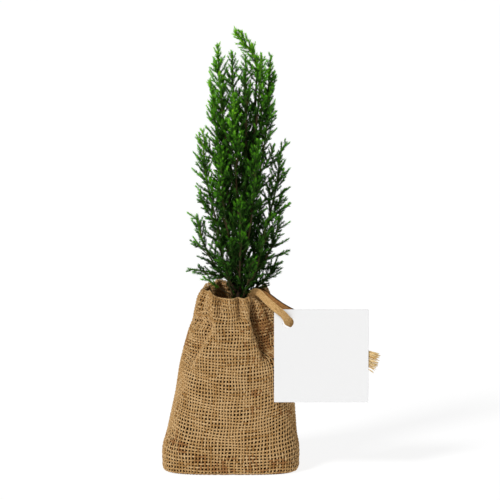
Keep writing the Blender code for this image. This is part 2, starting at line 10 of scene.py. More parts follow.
import bpy
import numpy as np
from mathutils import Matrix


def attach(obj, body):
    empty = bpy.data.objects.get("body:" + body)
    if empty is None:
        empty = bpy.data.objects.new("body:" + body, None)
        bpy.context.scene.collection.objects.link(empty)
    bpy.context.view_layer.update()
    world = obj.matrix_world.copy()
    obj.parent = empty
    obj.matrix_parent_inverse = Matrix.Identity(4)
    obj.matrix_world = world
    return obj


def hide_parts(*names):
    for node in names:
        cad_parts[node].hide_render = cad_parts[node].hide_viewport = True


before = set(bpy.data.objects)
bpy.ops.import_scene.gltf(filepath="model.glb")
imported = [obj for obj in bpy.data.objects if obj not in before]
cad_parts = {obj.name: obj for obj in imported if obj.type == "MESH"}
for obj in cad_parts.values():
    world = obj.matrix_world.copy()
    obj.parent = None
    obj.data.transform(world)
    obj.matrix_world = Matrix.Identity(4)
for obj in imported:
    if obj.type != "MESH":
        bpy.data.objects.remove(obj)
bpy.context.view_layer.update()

MM = 0.001
TINY = 1e-12
CLEAR = 0.35

# The sack: (height, half width, half depth, sideways shift of the section)
SACK_SECTIONS = (
    (0, 44.9, 24.4, 0.1), (1.6, 46.8, 26.2, 0.1), (6, 47.4, 27.2, 0.1), (17, 47.4, 28.4, 0.2),
    (24, 45.7, 28.6, 0.6), (39, 43.4, 28.2, 1.7), (55, 41.1, 27.6, 2.8), (76, 38.3, 26.4, 3.4),
    (91, 35.2, 24.8, 3.9), (102, 32.2, 22.8, 4.2), (112, 28, 20, 4), (119, 23.9, 17.6, 2.9),
    (123.5, 20.4, 16, 2.7),
)
SACK_HEIGHT = 123.5
SACK_SQUARENESS = 2.35  # of a section; 2 is an ellipse
FOOT_SQUARER = 1.2
FOOT_REACH = (4.0, 40.0)  # between these heights the squarer foot passes into the rest
# Pleats of the neck: (angle, depth, half width in degrees, share of the height where it begins)
PLEATS = (
    (-62, 5, 8, 0.58), (-82, 2.4, 7, 0.80), (-112, 1.6, 7, 0.78), (-147, 2.4, 8, 0.74),
    (-172, 1.6, 8, 0.72), (157, 1.2, 8, 0.74), (128, 3.2, 9, 0.66), (100, 2.4, 8, 0.74),
    (72, 3.4, 9, 0.64), (43, 2.6, 8, 0.74), (14, 3, 9, 0.70), (-24, 2.8, 9, 0.72),
)
# Tucks: (angle, height, depth, half width in degrees, half height)
TUCKS = ((-168, 105.0, 4.2, 14, 3.2), (150, 92.0, 2.0, 16, 4.0), (-30, 96.0, 2.2, 14, 5.0))
# Lobes of the rim: (angle, lift, half width in degrees)
RIM_LOBES = ((120, 8.8, 48), (-160, 4.5, 26), (-133, 4.5, 9), (27, 7.0, 8), (-40, 0.8, 14))
RIM_RISE_START = 0.78
RIM_LEAN = 0.45  # how far the rim's lobes lean outwards, as a share of their lift
FOLDS_FADE = (0.05, 0.35)  # shares of the depth between which the finer folds fade in from the sides

# Finer folds of the cloth: (x, z) of both ends, widths to the left and right of that line, and how deep
# the cloth is drawn in; a ridge has a negative depth
FRONT_FOLDS = (
    (15.6, 125, 17, 106, 2, 6, 4.8), (17, 106, 22.4, 90.5, 2.2, 17, 10.4),
    (22.4, 90.5, 26, 86, 2, 6, 2.5), (12.6, 122, 13, 98, 4.4, 1.8, -2.4),
    (23.5, 122, 25.5, 113, 2.4, 3, -2.2), (5.4, 123, 6.2, 111, 1.6, 2.4, 3.6),
    (-0.5, 123, -1, 108, 3, 3, -1.4), (-7.6, 122, -8, 112, 1.8, 1.6, 2.2),
    (-11.4, 122, -9.4, 104, 2.6, 3.6, -2.6), (-9.4, 104, -22.5, 79, 2.4, 8, -3.4),
    (-15, 104, -27, 83, 6, 3, 5.6), (-23.2, 109.6, -22.6, 106.2, 1.7, 1.7, 4.6),
    (-28, 60, -34, 34, 9, 9, -1.2), (2, 84, 4, 50, 9, 9, -1),
    (30, 62, 34, 36, 8, 8, 0.8),
)
BACK_FOLDS = (
    (-14, 122, -17, 96, 2, 4, 3.8), (2, 122, 3, 104, 1.6, 3.2, 2.8),
    (17, 122, 20, 92, 4.6, 2, 4), (-4, 116, -8, 84, 4, 4, -2),
    (11, 116, 12, 88, 4, 4, -1.8), (-26, 84, -30, 50, 7, 7, 1.2),
    (22, 80, 28, 48, 8, 8, -1.2),
)

# The weave
THREAD_PITCH = 2.3
THREAD_HALF_WIDTH = 0.60
THREAD_HALF_THICKNESS = 0.45
THREAD_WAVE = 0.44
WEFT_SHARE = 1.02  # the rows are this much wider than the upright threads
THREAD_SIDES = 6
THREAD_WANDER = 0.06  # of the pitch
THREAD_STEP = 0.5  # of the pitch
GATHER = 0.45  # how far the threads close up where the sack narrows: 0 not at all, 1 in full
HEM_ROWS = 6  # rows of weave on the folded hem's inner side
HEM_FOLD = 2.0  # from the outer layer to the inner one
HEM_TURN = 1.6  # length of cloth in the fold
FLOOR_GAP = 0.95
THREADS_BESIDE = 38  # upright threads to each side of a panel's middle
FIRST_ROW = -0.4
SHORTEST_RUN = 4  # points of a thread
PANEL_OVERLAP = 0.4
NUDGES = (0.5, 0.004)  # of the angle and of the share of height, to find how the cloth slopes
SLUB = 0.12  # how much thicker and thinner a thread gets
SLUB_STEP = 5
# The front's rows sag: x of the lowest point, and the rise at SAG_REACH to its left and right
SAG_X = 3.0
SAG_LEFT = 6.0
SAG_RIGHT = 10.0
SAG_REACH = 50.0
SAG_GROWS = (2.0, 34.0)  # between these heights
SAG_EASES = (0.75, 55.0, 115.0)  # it loses this share between these heights
# How the threads stray: (how far, in pitches, and the wave's turn for each thread across and up)
STRAYS_ACROSS = ((0.16, 0.61, 0.37), (0.12, 0.23, -0.71))
STRAYS_UP = ((0.14, 0.43, 0.9), (0.10, 0.17, -0.53))
STRAY_PHASE = 1.3
# Where the yarn is russet: (x, z, size, the chance of it in the middle); the first two, right of the main
# front fold, are painted shade over a real reddish tint, the rest are real stains
STAIN_AND_SHADE_SPOTS = (
    (24, 103, 9, 0.80), (26, 92, 8.5, 0.80), (16, 58, 4.5, 0.42), (18, 47, 3.5, 0.42),
    (-38, 20, 5, 0.42), (-22, 10, 6, 0.34), (-4, 5, 8, 0.42), (14, 7, 6, 0.42),
    (32, 4, 8, 0.42), (38, 42, 4, 0.42), (-31, 92, 4, 0.36),
)
RUSSET_AND_SHADE = 4  # its slot among the yarns
YARN_CHANCES = (0.18, 0.62, 0.93, 1.0)  # up to these: pale, straw, tan, brown
YARN_HOLDS = 0.4  # the chance that the next stretch of a thread is of the same yarn
STRETCH = 5  # rings of thread

# The layer behind the weave, its dark outer face painted shade and its pale inner face painted light, the
# seam round the foot, the cloth under it, and the soil
LINING_INSET = 1.5
LINING_THICKNESS = 0.25
LINING_ROWS = 60
LINING_TOP = 0.985  # share of the height
LINING_LOWEST = (0.9, 1.3)  # outside and inside
SEAM_PLACE = (0.006, 0.6)  # share of the height and inset
SEAM_HEIGHT = 0.75
SEAM_TWISTS = 52
SEAM_WIND = (0.34, 0.22)  # of a yarn round the seam's middle, outwards and upwards
SEAM_YARN = (0.5, 0.42)  # half width and half thickness
UNDERSIDE = (0.45, 0.5)  # its height and thickness
UNDERSIDE_SHARES = (1.0, 0.04, 24)  # of the edge's size: first, last and how many
UNDERSIDE_WEAVE = (0.22, 2.73)  # relief, and turn for each millimetre
SOIL_HEIGHT = 110.0
SOIL_INSET = 5.5
SOIL_SIDES = 96
SOIL_SHARES = (0.03, 0.885, 12)  # of the height, up the side
SOIL_TOP_SHARES = (0.96, 0.04, 22)  # of the rim's size, over the top
SOIL_DROP = (1.2, 0.8)  # of the top and of the crumbs, under the soil's height
SOIL_ROUGH = 0.9
CRUMBS = 420
CRUMB_REACH = 0.9
CRUMB_SIZES = (0.4, 1.3)
CRUMB_WIDTHS = (0.6, 1.2)
CRUMB_HEIGHTS = (0.5, 0.9)
OCTAHEDRON = ((1, 0, 0), (-1, 0, 0), (0, 1, 0), (0, -1, 0), (0, 0, 1), (0, 0, -1))
OCTAHEDRON_FACES = ((0, 2, 4), (2, 1, 4), (1, 3, 4), (3, 0, 4), (2, 0, 5), (1, 2, 5), (3, 1, 5), (0, 3, 5))

# The trunk
TRUNK_LINE = (
    (5.5, 1, 110.4), (7.5, 0.5, 150), (10.5, -0.5, 195), (15.5, -0.5, 232), (17.8, 0, 268),
)
TRUNK_RADIUS = 2.5
TRUNK_TIP_RADIUS = 0.8
TRUNK_FLARE = 1.1
FLARE_HEIGHT = 6.0
TRUNK_RINGS = 14
BOUGH_RADIUS = 1.15
BOUGH_TIP_RADIUS = 0.85
STEM_RADIUS = 0.75
STEM_TIP_RADIUS = 0.35
BOUGH_SINK = 0.8
STEM_SINK = 0.4
TRUNK_BARK = (150, 18, 0.07)  # rings, sides and relief
BOUGH_BARK = (0.8, 10, 0.08)  # distance between rings, sides and relief
BOUGH_BACK = 1.2  # how far a bough's bark starts before the solid bough does
STEM_BACK = 0.3  # the same for a stem's wood
BARK_WAVES = ((0.9, 3), (0.31, 7))  # turn for each ring, and what the phase is multiplied by
BARK_ROUGH = 0.6
BARK_UP = (0.93, 0.31, 0.13)

# The crown's outline from the front: (height, left edge, right edge)
CROWN_OUTLINE = (
    (120, 2, 15), (126, 0, 22), (133, -6, 29), (138, -16, 31), (142, -28, 34), (160, -26, 38),
    (176, -28, 40), (190, -22, 41), (205, -22, 38), (222, -24, 39), (232, -23, 38), (240, -17, 33),
    (256, -14, 31), (275, -15, 29), (292, -12, 29), (300, -9, 23), (308, 1, 13), (314, 1, 4),
)
CROWN_DEPTH = 0.85
CROWN_MARGIN = 1.12
CROWN_X = 7.0  # its middle
CROWN_NARROWEST = (0.5, 1.0)  # half width, for the bounds and for the shades
CROWN_SHARE_LIMIT = 1.1
INNER_SHARE = 0.55  # twigs that end within this share are in the dark inside

# Plumes, by tier: the share of the path that is bare bough, and for each plume:
# (height of its foot on the trunk, azimuth, reach from the crown's middle, height of its tip)
TIERS = {
    "leader": (0.10, (
        (182, 182, 15.5, 297), (199, 158, 6.4, 292), (204, -66, 9, 290), (222, 4, 21, 289),
        (232, -34, 17, 291),
    )),
    "high": (0.10, (
        (166, 176, 19, 268), (156, -108, 14, 260), (172, -12, 20, 266), (165, 78, 15, 264),
    )),
    "middle": (0.10, (
        (141, 183, 26, 230), (136, -136, 19, 223), (144, -56, 20, 229), (139, 2, 28, 225),
        (140, 60, 20, 226), (143, 124, 20, 234),
    )),
    "low": (0.08, (
        (128, 178, 30, 177), (123, -150, 19, 176), (125, -90, 20, 190), (122, -32, 21, 178),
        (128, 0, 28, 184), (126, 52, 22, 184), (129, 116, 22, 190),
    )),
    "skirt": (0.0, (
        (136, 194, 28, 142), (117, -120, 20, 148), (118, -70, 20, 148), (122, 4, 26, 151),
        (121, 50, 19, 144), (120, 112, 21, 152),
    )),
}
LEAVING = (0.50, 0.18)
ARRIVING = (0.10, 0.45)
LEADER_TIP = (3.8, 0.0, 307.6)
LEADER_BEND = (17.5, 0.0, 289.0)
PATH_STEPS = 24
CURVE_STEPS = 16
START_STEP = 0.1
STEM_STEP = 3.0

# Shoots, twigs and twiglets, set round each stem by the source's rule; pairs are for its foot and its tip
GOLDEN_ANGLE = 137.5
SHOOT_FIRST = 6.0
SHOOT_PITCH = 15.0
SHOOT_LAST = 14.0  # below the plume's tip
SHOOT_SHARE = 0.42  # of the length of stem above it
SHOOT_LENGTHS = (10.0, 32.0)
SHOOT_ANGLE = 28.0
SHOOT_TURNS_UP = 0.85  # by this share of its angle
SHOOT_CLOSING = 4.0
SHOOT_POINTS = 10
SHOOT_REACH = (1.0, 0.2)
SHOOT_THINNER = 0.45
STEM_SIDES = 5
TWIG_FIRST = (1.5, 2)  # on a plume's main stem, and how much later on a shoot
TWIG_LAST = 0.6
TWIG_PITCH = (1.9, 1.4)
TWIG_LONGEST = (13.5, 8.0)  # on a plume's main stem, and on a shoot
TWIG_SHORTEST = 2.8
TWIG_GROWTH = 0.36
TWIG_ANGLE = 47.0
TWIG_CLOSING = 11.0
TWIG_SWAY = 7.0
TWIG_VARIES = (0.75, 1.15)
SHORT_TWIGS = (0.34, 0.45)  # this share of the twigs is shorter, by this factor
TWIG_TURNS_UP = 0.15
TWIG_POINTS = 6
TWIG_RADIUS = 0.30
TWIG_TIP_RADIUS = 0.20
TWIG_BARE = 0.12  # share of an outer twig without needles
TRIES = ((1.0, 1.0), (1.0, 0.7), (0.8, 0.9), (0.8, 0.5), (0.6, 1.0), (0.6, 0.5), (0.42, 0.8), (0.28, 0.6))
PITCH_VARIES = (0.85, 1.15)
TWIGLET_PITCH = 3.4
TWIGLET_ENDS = (0.24, 2.0)  # share of the twig below the first, and length above the last
TWIGLET_ANGLE = 38.0
TWIGLET_SWAY = (6, 0.25)  # of its angle in degrees, and outwards
TWIGLET_SHARE = 0.13
TWIGLET_SHORTEST = 1.2
TWIGLET_VARIES = (0.8, 1.2)
TWIGLET_THICKER = 1.2
TWIGLET_NEEDLES = (0.3, 0.92, 1.1)  # where they begin, their size, and how much further apart they are
TWIGS_WITH_TWIGLETS = 5.5
TRUNK_TWIG_PITCH = 0.85
TRUNK_TWIG_FIRST = 9.0  # above the soil
TRUNK_TWIG_LENGTHS = (8.0, 15.0)
TRUNK_TWIG_TOP = 236.0
TRUNK_TWIG_LAST = 1.0
TRUNK_TWIG_ANGLE = 55.0
TRUNK_TWIG_CLOSING = 15.0
TRUNK_TWIG_SINK = 0.8  # its root lies at this share of the trunk's radius
TRUNK_TWIG_TURNS_UP = 0.5
LEADER_PALER = 0.42  # added to the brightness of the leader's needles
LEADER_REACH = (0.6, 0.0)  # how far the needles run on past the tip, and how much they turn outwards
TIP_REACH = {
    "leader": (2.5, 0.1), "high": (6.5, 0.45), "middle": (7.0, 0.6), "low": (7.5, 1.3), "skirt": (8.5, 1.8),
}
TIP_POINTS = 4
NEEDLE_PITCH = (0.85, 0.70)  # in the dark inside of the crown, and outside
NEEDLES_ROUND = 4
NEEDLE_LENGTH = 2.25
NEEDLE_HALF_WIDTH = 0.27
NEEDLE_ANGLE = 40.0
NEEDLE_ENDS = (0.3, 0.2)  # from the start of the stretch, and past its end
NEEDLE_SLOPE = (0.3, 0.4)  # ahead and behind, to find the stem's direction
NEEDLE_STRAYS = (0.3, 9)  # of its turn in radians, and of its angle in degrees
NEEDLE_LENGTHS = (0.7, 1.2)
NEEDLE_WIDTHS = (0.85, 1.15)
NEEDLE_WIDEST = 0.42  # share of its length
NEEDLE_LIFT = 0.12  # of its root off the stem, and of its keel
TIP_AHEAD = 0.12  # share of its length that its tip lies further along the stem
WHORL_TURN = 0.8  # radians from one whorl to the next
TUFT = (2.5, 0.5)  # the last needles close up over this length, by this share of their angle
STEM_NEEDLES = (0.35, 0.9, 1.05)  # from this share of a stem, how far along for the shade, and their size
SHADE_STEPS = (0.42, 0.62, 0.82, 1.02, 1.24)  # values of brightness between the six greens
# Outer and upper twigs are made paler and twigs right of the middle darker: painted light and shade
SHADE_WEIGHTS = (0.32, 0.34, 0.46, 0.10)  # outwards, along the stem, upwards, and darker to the right
SHADE_VARIES = 0.14
SHADE_PARTS = (-0.24, 0.0, 0.18)  # for the foot, middle and tip of a twig
SHADES_CHANGE = (0.5, 0.8)  # shares of the twig's length
SHADE_HEIGHTS = (120, 190)  # where upwards begins, and over what height
OPEN_EDGE = (0.55, 185.0, 0.2)  # past this share of the crown and under this height, the chance of no twig
# The paler outer twigs are painted light; under these heights it fades out, a painted shade at the crown's
# foot
PALE_FROM = (116.0, 142.0)  # between these heights the outer twigs become paler
OVER_RIM = 1.2
OVER_SOIL = 1.0
MOUTH_SHARE = 0.62
PIECE_LIMIT = 180000  # triangles in one joined piece
SEED = 7
# Side shoots of the leader, each from its foot to its tip, and a thin twig that hangs out over the rim
LEADER_SIDES = (
    ((13.6, 0.0, 297.8), (13.0, -1.0, 301.0), (11.4, -1.5, 304.4)),
    ((16.4, 0.0, 293.6), (12.0, 1.0, 297.4), (8.0, 1.5, 300.4)),
    ((9.6, 0.0, 302.2), (9.0, -0.5, 305.2), (7.4, -0.5, 308.4)),
    ((9.0, 0.3, 303.0), (6.6, 0.3, 305.6), (4.2, 0.3, 308.3)),
)
LOW_TWIG = (
    (4.0, -1.5, 116.0), (1.0, -3.0, 123.5), (-5.3, -5.0, 127.8), (-11.7, -7.0, 132.4), (-18.6, -8.6, 137.8),
)
LOW_TWIG_BARE = 0.58  # the share of it without twigs, from its foot
LOW_TWIG_LONGEST = 4.6
LOW_TWIG_POINTS = 14
WOOD_UP = (0.13, 0.31, 0.94)
SPROUT_SIDE = (0.9, 0.3, 0.1)

# The cords and the tag
CORD_HALF_WIDTH = 2.5
CORD_POINTS = 90
CORD_RUN_FRONT = (
    (13.4, -5.4, 121.4), (15.2, -7.7, 126.2), (19.3, -12.8, 127.6), (24.8, -20.6, 123.8),
    (31.2, -26, 118.9), (36.4, -27, 114.75), (39.2, -26.6, 111.15), (40.6, -24, 109.15),
    (42.6, -22.1, 107.55), (51.6, -22, 102.35), (68, -22, 92.6), (85.5, -22, 83.6),
)
CORD_RUN_BACK = (
    (15.8, -0.2, 121.2), (18, -3.5, 125.8), (21.4, -8.2, 127.6), (27.6, -15, 124),
    (35, -20.6, 119.8), (46, -22, 113.4), (60, -22, 104.8), (76, -22, 94.9),
    (86.5, -22, 89.2),
)
CORD_RUNS = {"cord_front": CORD_RUN_FRONT, "cord_back": CORD_RUN_BACK}
CORD_STRANDS = 9
CORD_SPREAD = 0.36  # how much wider it lies in the tag's hole
SPREAD_REACH = 4.0
TASSEL_FANS = {"cord_front": (13, 31), "cord_back": (17, 20)}
TASSEL_LENGTH = 18.6
FRAYED_STRANDS = 38
FRAYED_POINTS = 10
FRAYED_SWAY = 3
FRAYED_LENGTHS = (0.84, 1.0)
FRAYED_ROOTS = 0.6  # share of the cord's width that they start from
FRAYED_DRIFT = 0.12  # forwards or back
FRAYED_BENDS = ((-0.5, 0.5), (-0.8, 0.4))  # forwards, and upwards
FRAYED_CURL = (0.18, 8, 16)  # how far, and its least and most turn
FRAYED_RADII = (0.34, 0.20)
# Strands of the cords
STRAND_MARGIN = 0.38
STRAND_WANDER = (0.12, 20, 34)
STRAND_CROWN = 0.35  # how far the middle ones stand out from the band, on both faces
STRAND_RADIUS = 0.40
STRAND_SWELL = (0.12, 60, 120)
STRAND_FLAT = 0.8
HAIRS = 60
HAIR_LENGTHS = (0.8, 2.2)
HAIR_RADIUS = 0.05
HAIR_UP = (0.2, 0.9, 0.3)
# The card and its hole
TAG_SIDE = 65.8
TAG_THICKNESS = 0.6
TAG_CENTRE = (63.3, -24.0, 84.75)
TAG_HOLE_INSET = (9.7, 9.2)
TAG_HOLE_RADIUS = 3.9
TAG_CORNER = 0.5
TAG_CORNER_STEP = 15  # degrees
TAG_SOFTNESS = 0.12  # of its edges
TAG_RING = 96
TAG_HOLE = (TAG_HOLE_INSET[0] - TAG_SIDE / 2, TAG_SIDE / 2 - TAG_HOLE_INSET[1])
PARALLEL = 1e-9  # a cross product under this counts as parallel
SLACK = 1e-6  # past an edge's ends, as a share of its length

# Speckled materials: for each group the noise's scale, the roughness, the bump's strength, its grain's scale
# and the gloss; then each material's name and its dark and light colours
SPECKLED = {
    "yarns": ((900.0, 0.95, 0.35, 5000.0, 0.02), (
        ("yarn_pale", (0.48, 0.302, 0.130), (0.67, 0.458, 0.236)),
        ("yarn_straw", (0.44, 0.262, 0.104), (0.63, 0.420, 0.205)),
        ("yarn_tan", (0.38, 0.216, 0.078), (0.55, 0.345, 0.152)),
        ("yarn_brown", (0.29, 0.148, 0.046), (0.45, 0.255, 0.094)),
        # russet yarn: for real stains, and for the painted shade right of the main front fold
        ("yarn_russet_and_shade", (0.27, 0.126, 0.044), (0.40, 0.206, 0.078)),
    )),
    # The seam's dark reddish yarn: partly its own reddish colour, partly painted shade along the sack's foot
    "seam": ((900.0, 0.95, 0.35, 2700.0, 0.02), (
        ("seam_yarn_and_shade", (0.085, 0.030, 0.012), (0.19, 0.080, 0.030)),
    )),
    # The dark outer face of the layer behind the weave is painted shade, seen through the weave's holes
    "lining_painted_shade": ((1400.0, 1.0, 0.4, 4200.0, 0.0), (
        ("lining_painted_shade", (0.020, 0.006, 0.001), (0.055, 0.020, 0.003)),
    )),
    # The inner face of that layer, paler than the yarns: painted light inside the shaded mouth
    "inside": ((1400.0, 1.0, 0.4, 4200.0, 0.02), (
        ("cloth_inside_painted_light", (0.64, 0.320, 0.120), (0.84, 0.480, 0.200)),
    )),
    "soil": ((1800.0, 1.0, 0.8, 5400.0, 0.2), (
        ("soil", (0.060, 0.024, 0.017), (0.190, 0.088, 0.055)),
    )),
    "bark": ((1200.0, 0.9, 0.7, 3600.0, 0.2), (
        ("bark", (0.016, 0.010, 0.006), (0.070, 0.040, 0.022)),
    )),
    "cord_front": ((1100.0, 0.9, 0.3, 3300.0, 0.05), (
        ("strand_gold", (0.40, 0.23, 0.080), (0.72, 0.48, 0.22)),
        ("strand_tan", (0.33, 0.17, 0.055), (0.63, 0.40, 0.17)),
    )),
    # The back run of the cord, behind the front one, in darker reds: painted shade on the same cord
    "cord_back": ((1100.0, 0.9, 0.3, 3300.0, 0.05), (
        ("strand_shaded_red", (0.24, 0.105, 0.034), (0.48, 0.26, 0.095)),
        ("strand_shaded_rust", (0.19, 0.075, 0.022), (0.40, 0.20, 0.065)),
        # a near-black strand along the back cord's upper edge: a painted shadow line
        ("strand_shadow_edge", (0.020, 0.009, 0.005), (0.075, 0.033, 0.014)),
    )),
    "frayed": ((1300.0, 0.85, 0.3, 3900.0, 0.2), (
        ("strand_pale", (0.82, 0.60, 0.28), (0.96, 0.80, 0.48)),
        ("strand_amber", (0.72, 0.46, 0.17), (0.90, 0.66, 0.31)),
    )),
}
# The back cord's dark upper edge is a painted shadow line
SHADOW_EDGE_STRAND = 2  # slot of the back cord's dark upper edge
COLOUR_PLACES = (0.32, 0.68)  # of the noise, where it is dark and where it is light
COLOUR_DETAIL = 3.0
GRAIN_DETAIL = 4.0
BUMP_DISTANCE = 0.0004  # metres

# Plain materials: name, colour, roughness and gloss
WOODS = (
    ("stem_bark", (0.070, 0.048, 0.018), 0.85, 0.3),
    ("twig_green", (0.075, 0.130, 0.022), 0.80, 0.3),
)
# Six greens from deep to new; the shades dealt among them are partly painted light and shade
GREENS = (
    ("needle_deep", (0.015, 0.046, 0.008)),
    ("needle_dark", (0.027, 0.094, 0.012)),
    ("needle_mid", (0.060, 0.192, 0.020)),
    ("needle_bright", (0.102, 0.350, 0.017)),
    ("needle_tip", (0.200, 0.555, 0.034)),
    ("needle_new_and_lit", (0.300, 0.680, 0.030)),
)
GREENS_FINISH = (0.7, 0.04)
CARD = ("card", (0.84, 0.84, 0.84), 0.75, 0.3)
FLOOR = ("floor_white", (0.2, 0.2, 0.2), 0.9, 0.0)

# The studio: a floor that glows a little, so that shadows on it stay faint, a pale sky and a soft sun
FLOOR_REACH = 9.0  # metres to each side
FLOOR_GLOW = 0.87
SKY_STRENGTH = 0.25
SUN_STRENGTH = 2.3
SUN_SOFTNESS = 12.0
SUN_TURN = (50.0, 0.0, -40.0)

# The picture: the camera looks a little down at the front, and sees PICTURE_WIDTH across
CAMERA_ELEVATION = 9.0
CAMERA_DISTANCE = 2500.0
PICTURE_WIDTH = 350.0
PICTURE_MIDDLE = (13.65, 0.0, 155.6)
SENSOR = 36.0


# Materials
def principled(name):
    material = bpy.data.materials.new(name)
    material.use_nodes = True
    return material, material.node_tree.nodes, material.node_tree.links


def set_inputs(node, values):
    for name, value in values.items():
        node.inputs[name].default_value = value


def fine_noise(nodes, links, scale, detail):
    """A noise texture in object coordinates, its scale in cycles per metre."""
    where = nodes.new("ShaderNodeTexCoord")
    texture = nodes.new("ShaderNodeTexNoise")
    set_inputs(texture, {"Scale": scale, "Detail": detail})
    links.new(where.outputs["Object"], texture.inputs["Vector"])
    return texture


def speckled(name, dark, light, scale, roughness, strength, grain_scale, gloss):
    """A matt material whose colour wanders between two, with a fine bump."""
    material, nodes, links = principled(name)
    shader = nodes["Principled BSDF"]
    set_inputs(shader, {"Roughness": roughness, "Specular IOR Level": gloss})
    ramp = nodes.new("ShaderNodeValToRGB")
    for element, place, colour in zip(ramp.color_ramp.elements, COLOUR_PLACES, (dark, light)):
        element.position = place
        element.color = (*colour, 1)
    links.new(fine_noise(nodes, links, scale, COLOUR_DETAIL).outputs["Fac"], ramp.inputs["Fac"])
    links.new(ramp.outputs["Color"], shader.inputs["Base Color"])
    relief = nodes.new("ShaderNodeBump")
    set_inputs(relief, {"Strength": strength, "Distance": BUMP_DISTANCE})
    links.new(fine_noise(nodes, links, grain_scale, GRAIN_DETAIL).outputs["Fac"], relief.inputs["Height"])
    links.new(relief.outputs["Normal"], shader.inputs["Normal"])
    return material


def plain(name, colour, roughness, gloss):
    material, nodes, _ = principled(name)
    look = {"Base Color": (*colour, 1), "Roughness": roughness, "Specular IOR Level": gloss}
    set_inputs(nodes["Principled BSDF"], look)
    return material


# Meshes
class Batch:
    """Triangles gathered in millimetres, to become one mesh."""

    def __init__(self):
        self.points, self.faces, self.slots, self.count = [], [], [], 0
        self.triangles = 0

    def add(self, points, faces, slot):
        self.points.append(points)
        self.faces.append(faces + self.count)
        self.slots.append(np.broadcast_to(slot, len(faces)))
        self.count += len(points)
        self.triangles += len(faces)

    def add_tube(self, path, up, half_width, half_thickness, sides, slot):
        self.add(tube(path, up, half_width, half_thickness, sides), faces_for(len(path), sides), slot)

    def build(self, name, materials, record_slot, smooth=True):
        points = np.concatenate(self.points) * MM
        faces = np.concatenate(self.faces).astype(np.int32)
        mesh = bpy.data.meshes.new(name)
        mesh.vertices.add(len(points))
        mesh.vertices.foreach_set("co", points.astype(np.float32).ravel())
        mesh.loops.add(faces.size)
        mesh.loops.foreach_set("vertex_index", faces.ravel())
        mesh.polygons.add(len(faces))
        mesh.polygons.foreach_set("loop_start", np.arange(0, faces.size, 3, dtype=np.int32))
        mesh.polygons.foreach_set("material_index", np.concatenate(self.slots).astype(np.int32))
        mesh.polygons.foreach_set("use_smooth", np.full(len(faces), smooth))
        mesh.update(calc_edges=True)
        mesh.validate()
        obj = bpy.data.objects.new(name, mesh)
        for material in materials:
            mesh.materials.append(material)
        bpy.context.scene.collection.objects.link(obj)
        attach(obj, "root")
        return obj


def tube_faces(rings, sides, closed=True):
    """Triangles over a stack of rings, with both ends closed by fans."""
    i = np.arange(rings - 1)[:, None] * sides
    k = np.arange(sides)[None, :]
    a, b = i + k, i + (k + 1) % sides
    c, d = a + sides, b + sides
    walls = [np.stack([a, b, d], -1).reshape(-1, 3), np.stack([a, d, c], -1).reshape(-1, 3)]
    if closed:
        fan = np.array([[0, j + 1, j] for j in range(1, sides - 1)])
        walls += [fan, (rings - 1) * sides + fan[:, ::-1]]
    return np.concatenate(walls)


FACES = {}


def faces_for(rings, sides):
    if (rings, sides) not in FACES:
        FACES[rings, sides] = tube_faces(rings, sides)
    return FACES[rings, sides]


def unit(vectors):
    return vectors / np.maximum(np.linalg.norm(vectors, axis=-1, keepdims=True), TINY)


def tangents(path):
    return unit(np.gradient(path, axis=0))


def tube(path, up, half_width, half_thickness, sides):
    """Points of a tube on a path, its width square to up; sizes may be one number or one for each point."""
    ahead = tangents(path)
    across = unit(np.cross(ahead, up))
    lift = np.cross(across, ahead)
    turn = 2 * np.pi * np.arange(sides) / sides
    wide = np.broadcast_to(half_width, len(path))[:, None, None]
    thick = np.broadcast_to(half_thickness, len(path))[:, None, None]
    ring = across[:, None] * np.cos(turn)[None, :, None] * wide
    ring = ring - lift[:, None] * np.sin(turn)[None, :, None] * thick
    return (path[:, None] + ring).reshape(-1, 3)


# Curves and tables
def smooth_table(rows, at):
    """The columns of a table at these values of its first column, on a curve through its rows."""
    table = np.array(rows, float)
    at = np.asarray(at, float)
    keys = table[:, 0]
    slopes = np.gradient(table[:, 1:], keys, axis=0)
    i = np.clip(np.searchsorted(keys, at) - 1, 0, len(keys) - 2)
    span = (keys[i + 1] - keys[i])[..., None]
    t = np.clip((at - keys[i])[..., None] / span, 0, 1)
    return (
        table[i, 1:] * (2 * t**3 - 3 * t**2 + 1)
        + slopes[i] * span * (t**3 - 2 * t**2 + t)
        + table[i + 1, 1:] * (3 * t**2 - 2 * t**3)
        + slopes[i + 1] * span * (t**3 - t**2)
    )


def run_lengths(points):
    steps = np.linalg.norm(np.diff(points, axis=0), axis=1)
    return np.concatenate([[0.0], np.cumsum(steps)])


def points_along(points, wanted):
    run = run_lengths(points)
    return np.stack([np.interp(wanted, run, points[:, k]) for k in range(3)], -1)


def curve_through(points, count):
    given = np.array(points, float)
    ends = np.concatenate([[2 * given[0] - given[1]], given, [2 * given[-1] - given[-2]]])
    fine = []
    t = (np.arange(CURVE_STEPS) / CURVE_STEPS)[:, None]
    for a, b, c, d in zip(ends, ends[1:], ends[2:], ends[3:]):
        square = 2 * a - 5 * b + 4 * c - d
        cube = 3 * b - a - 3 * c + d
        fine.append(0.5 * (2 * b + (c - a) * t + square * t**2 + cube * t**3))
    fine = np.concatenate([*fine, [given[-1]]])
    return points_along(fine, np.linspace(0.0, run_lengths(fine)[-1], count))


def bump(angle, centre, half_width):
    off = (angle - centre + 180.0) % 360.0 - 180.0
    return np.exp(-((off / half_width) ** 2))


def fade(value, start, end):
    t = np.clip((value - start) / (end - start), 0.0, 1.0)
    return t * t * (3 - 2 * t)


def all_round(count):
    """Angles in degrees, evenly round a circle."""
    return np.linspace(-180, 180, count + 1)[:-1]


# The sack
def rim_lift(angle):
    return sum(lift * bump(angle, at, wide) for at, lift, wide in RIM_LOBES)


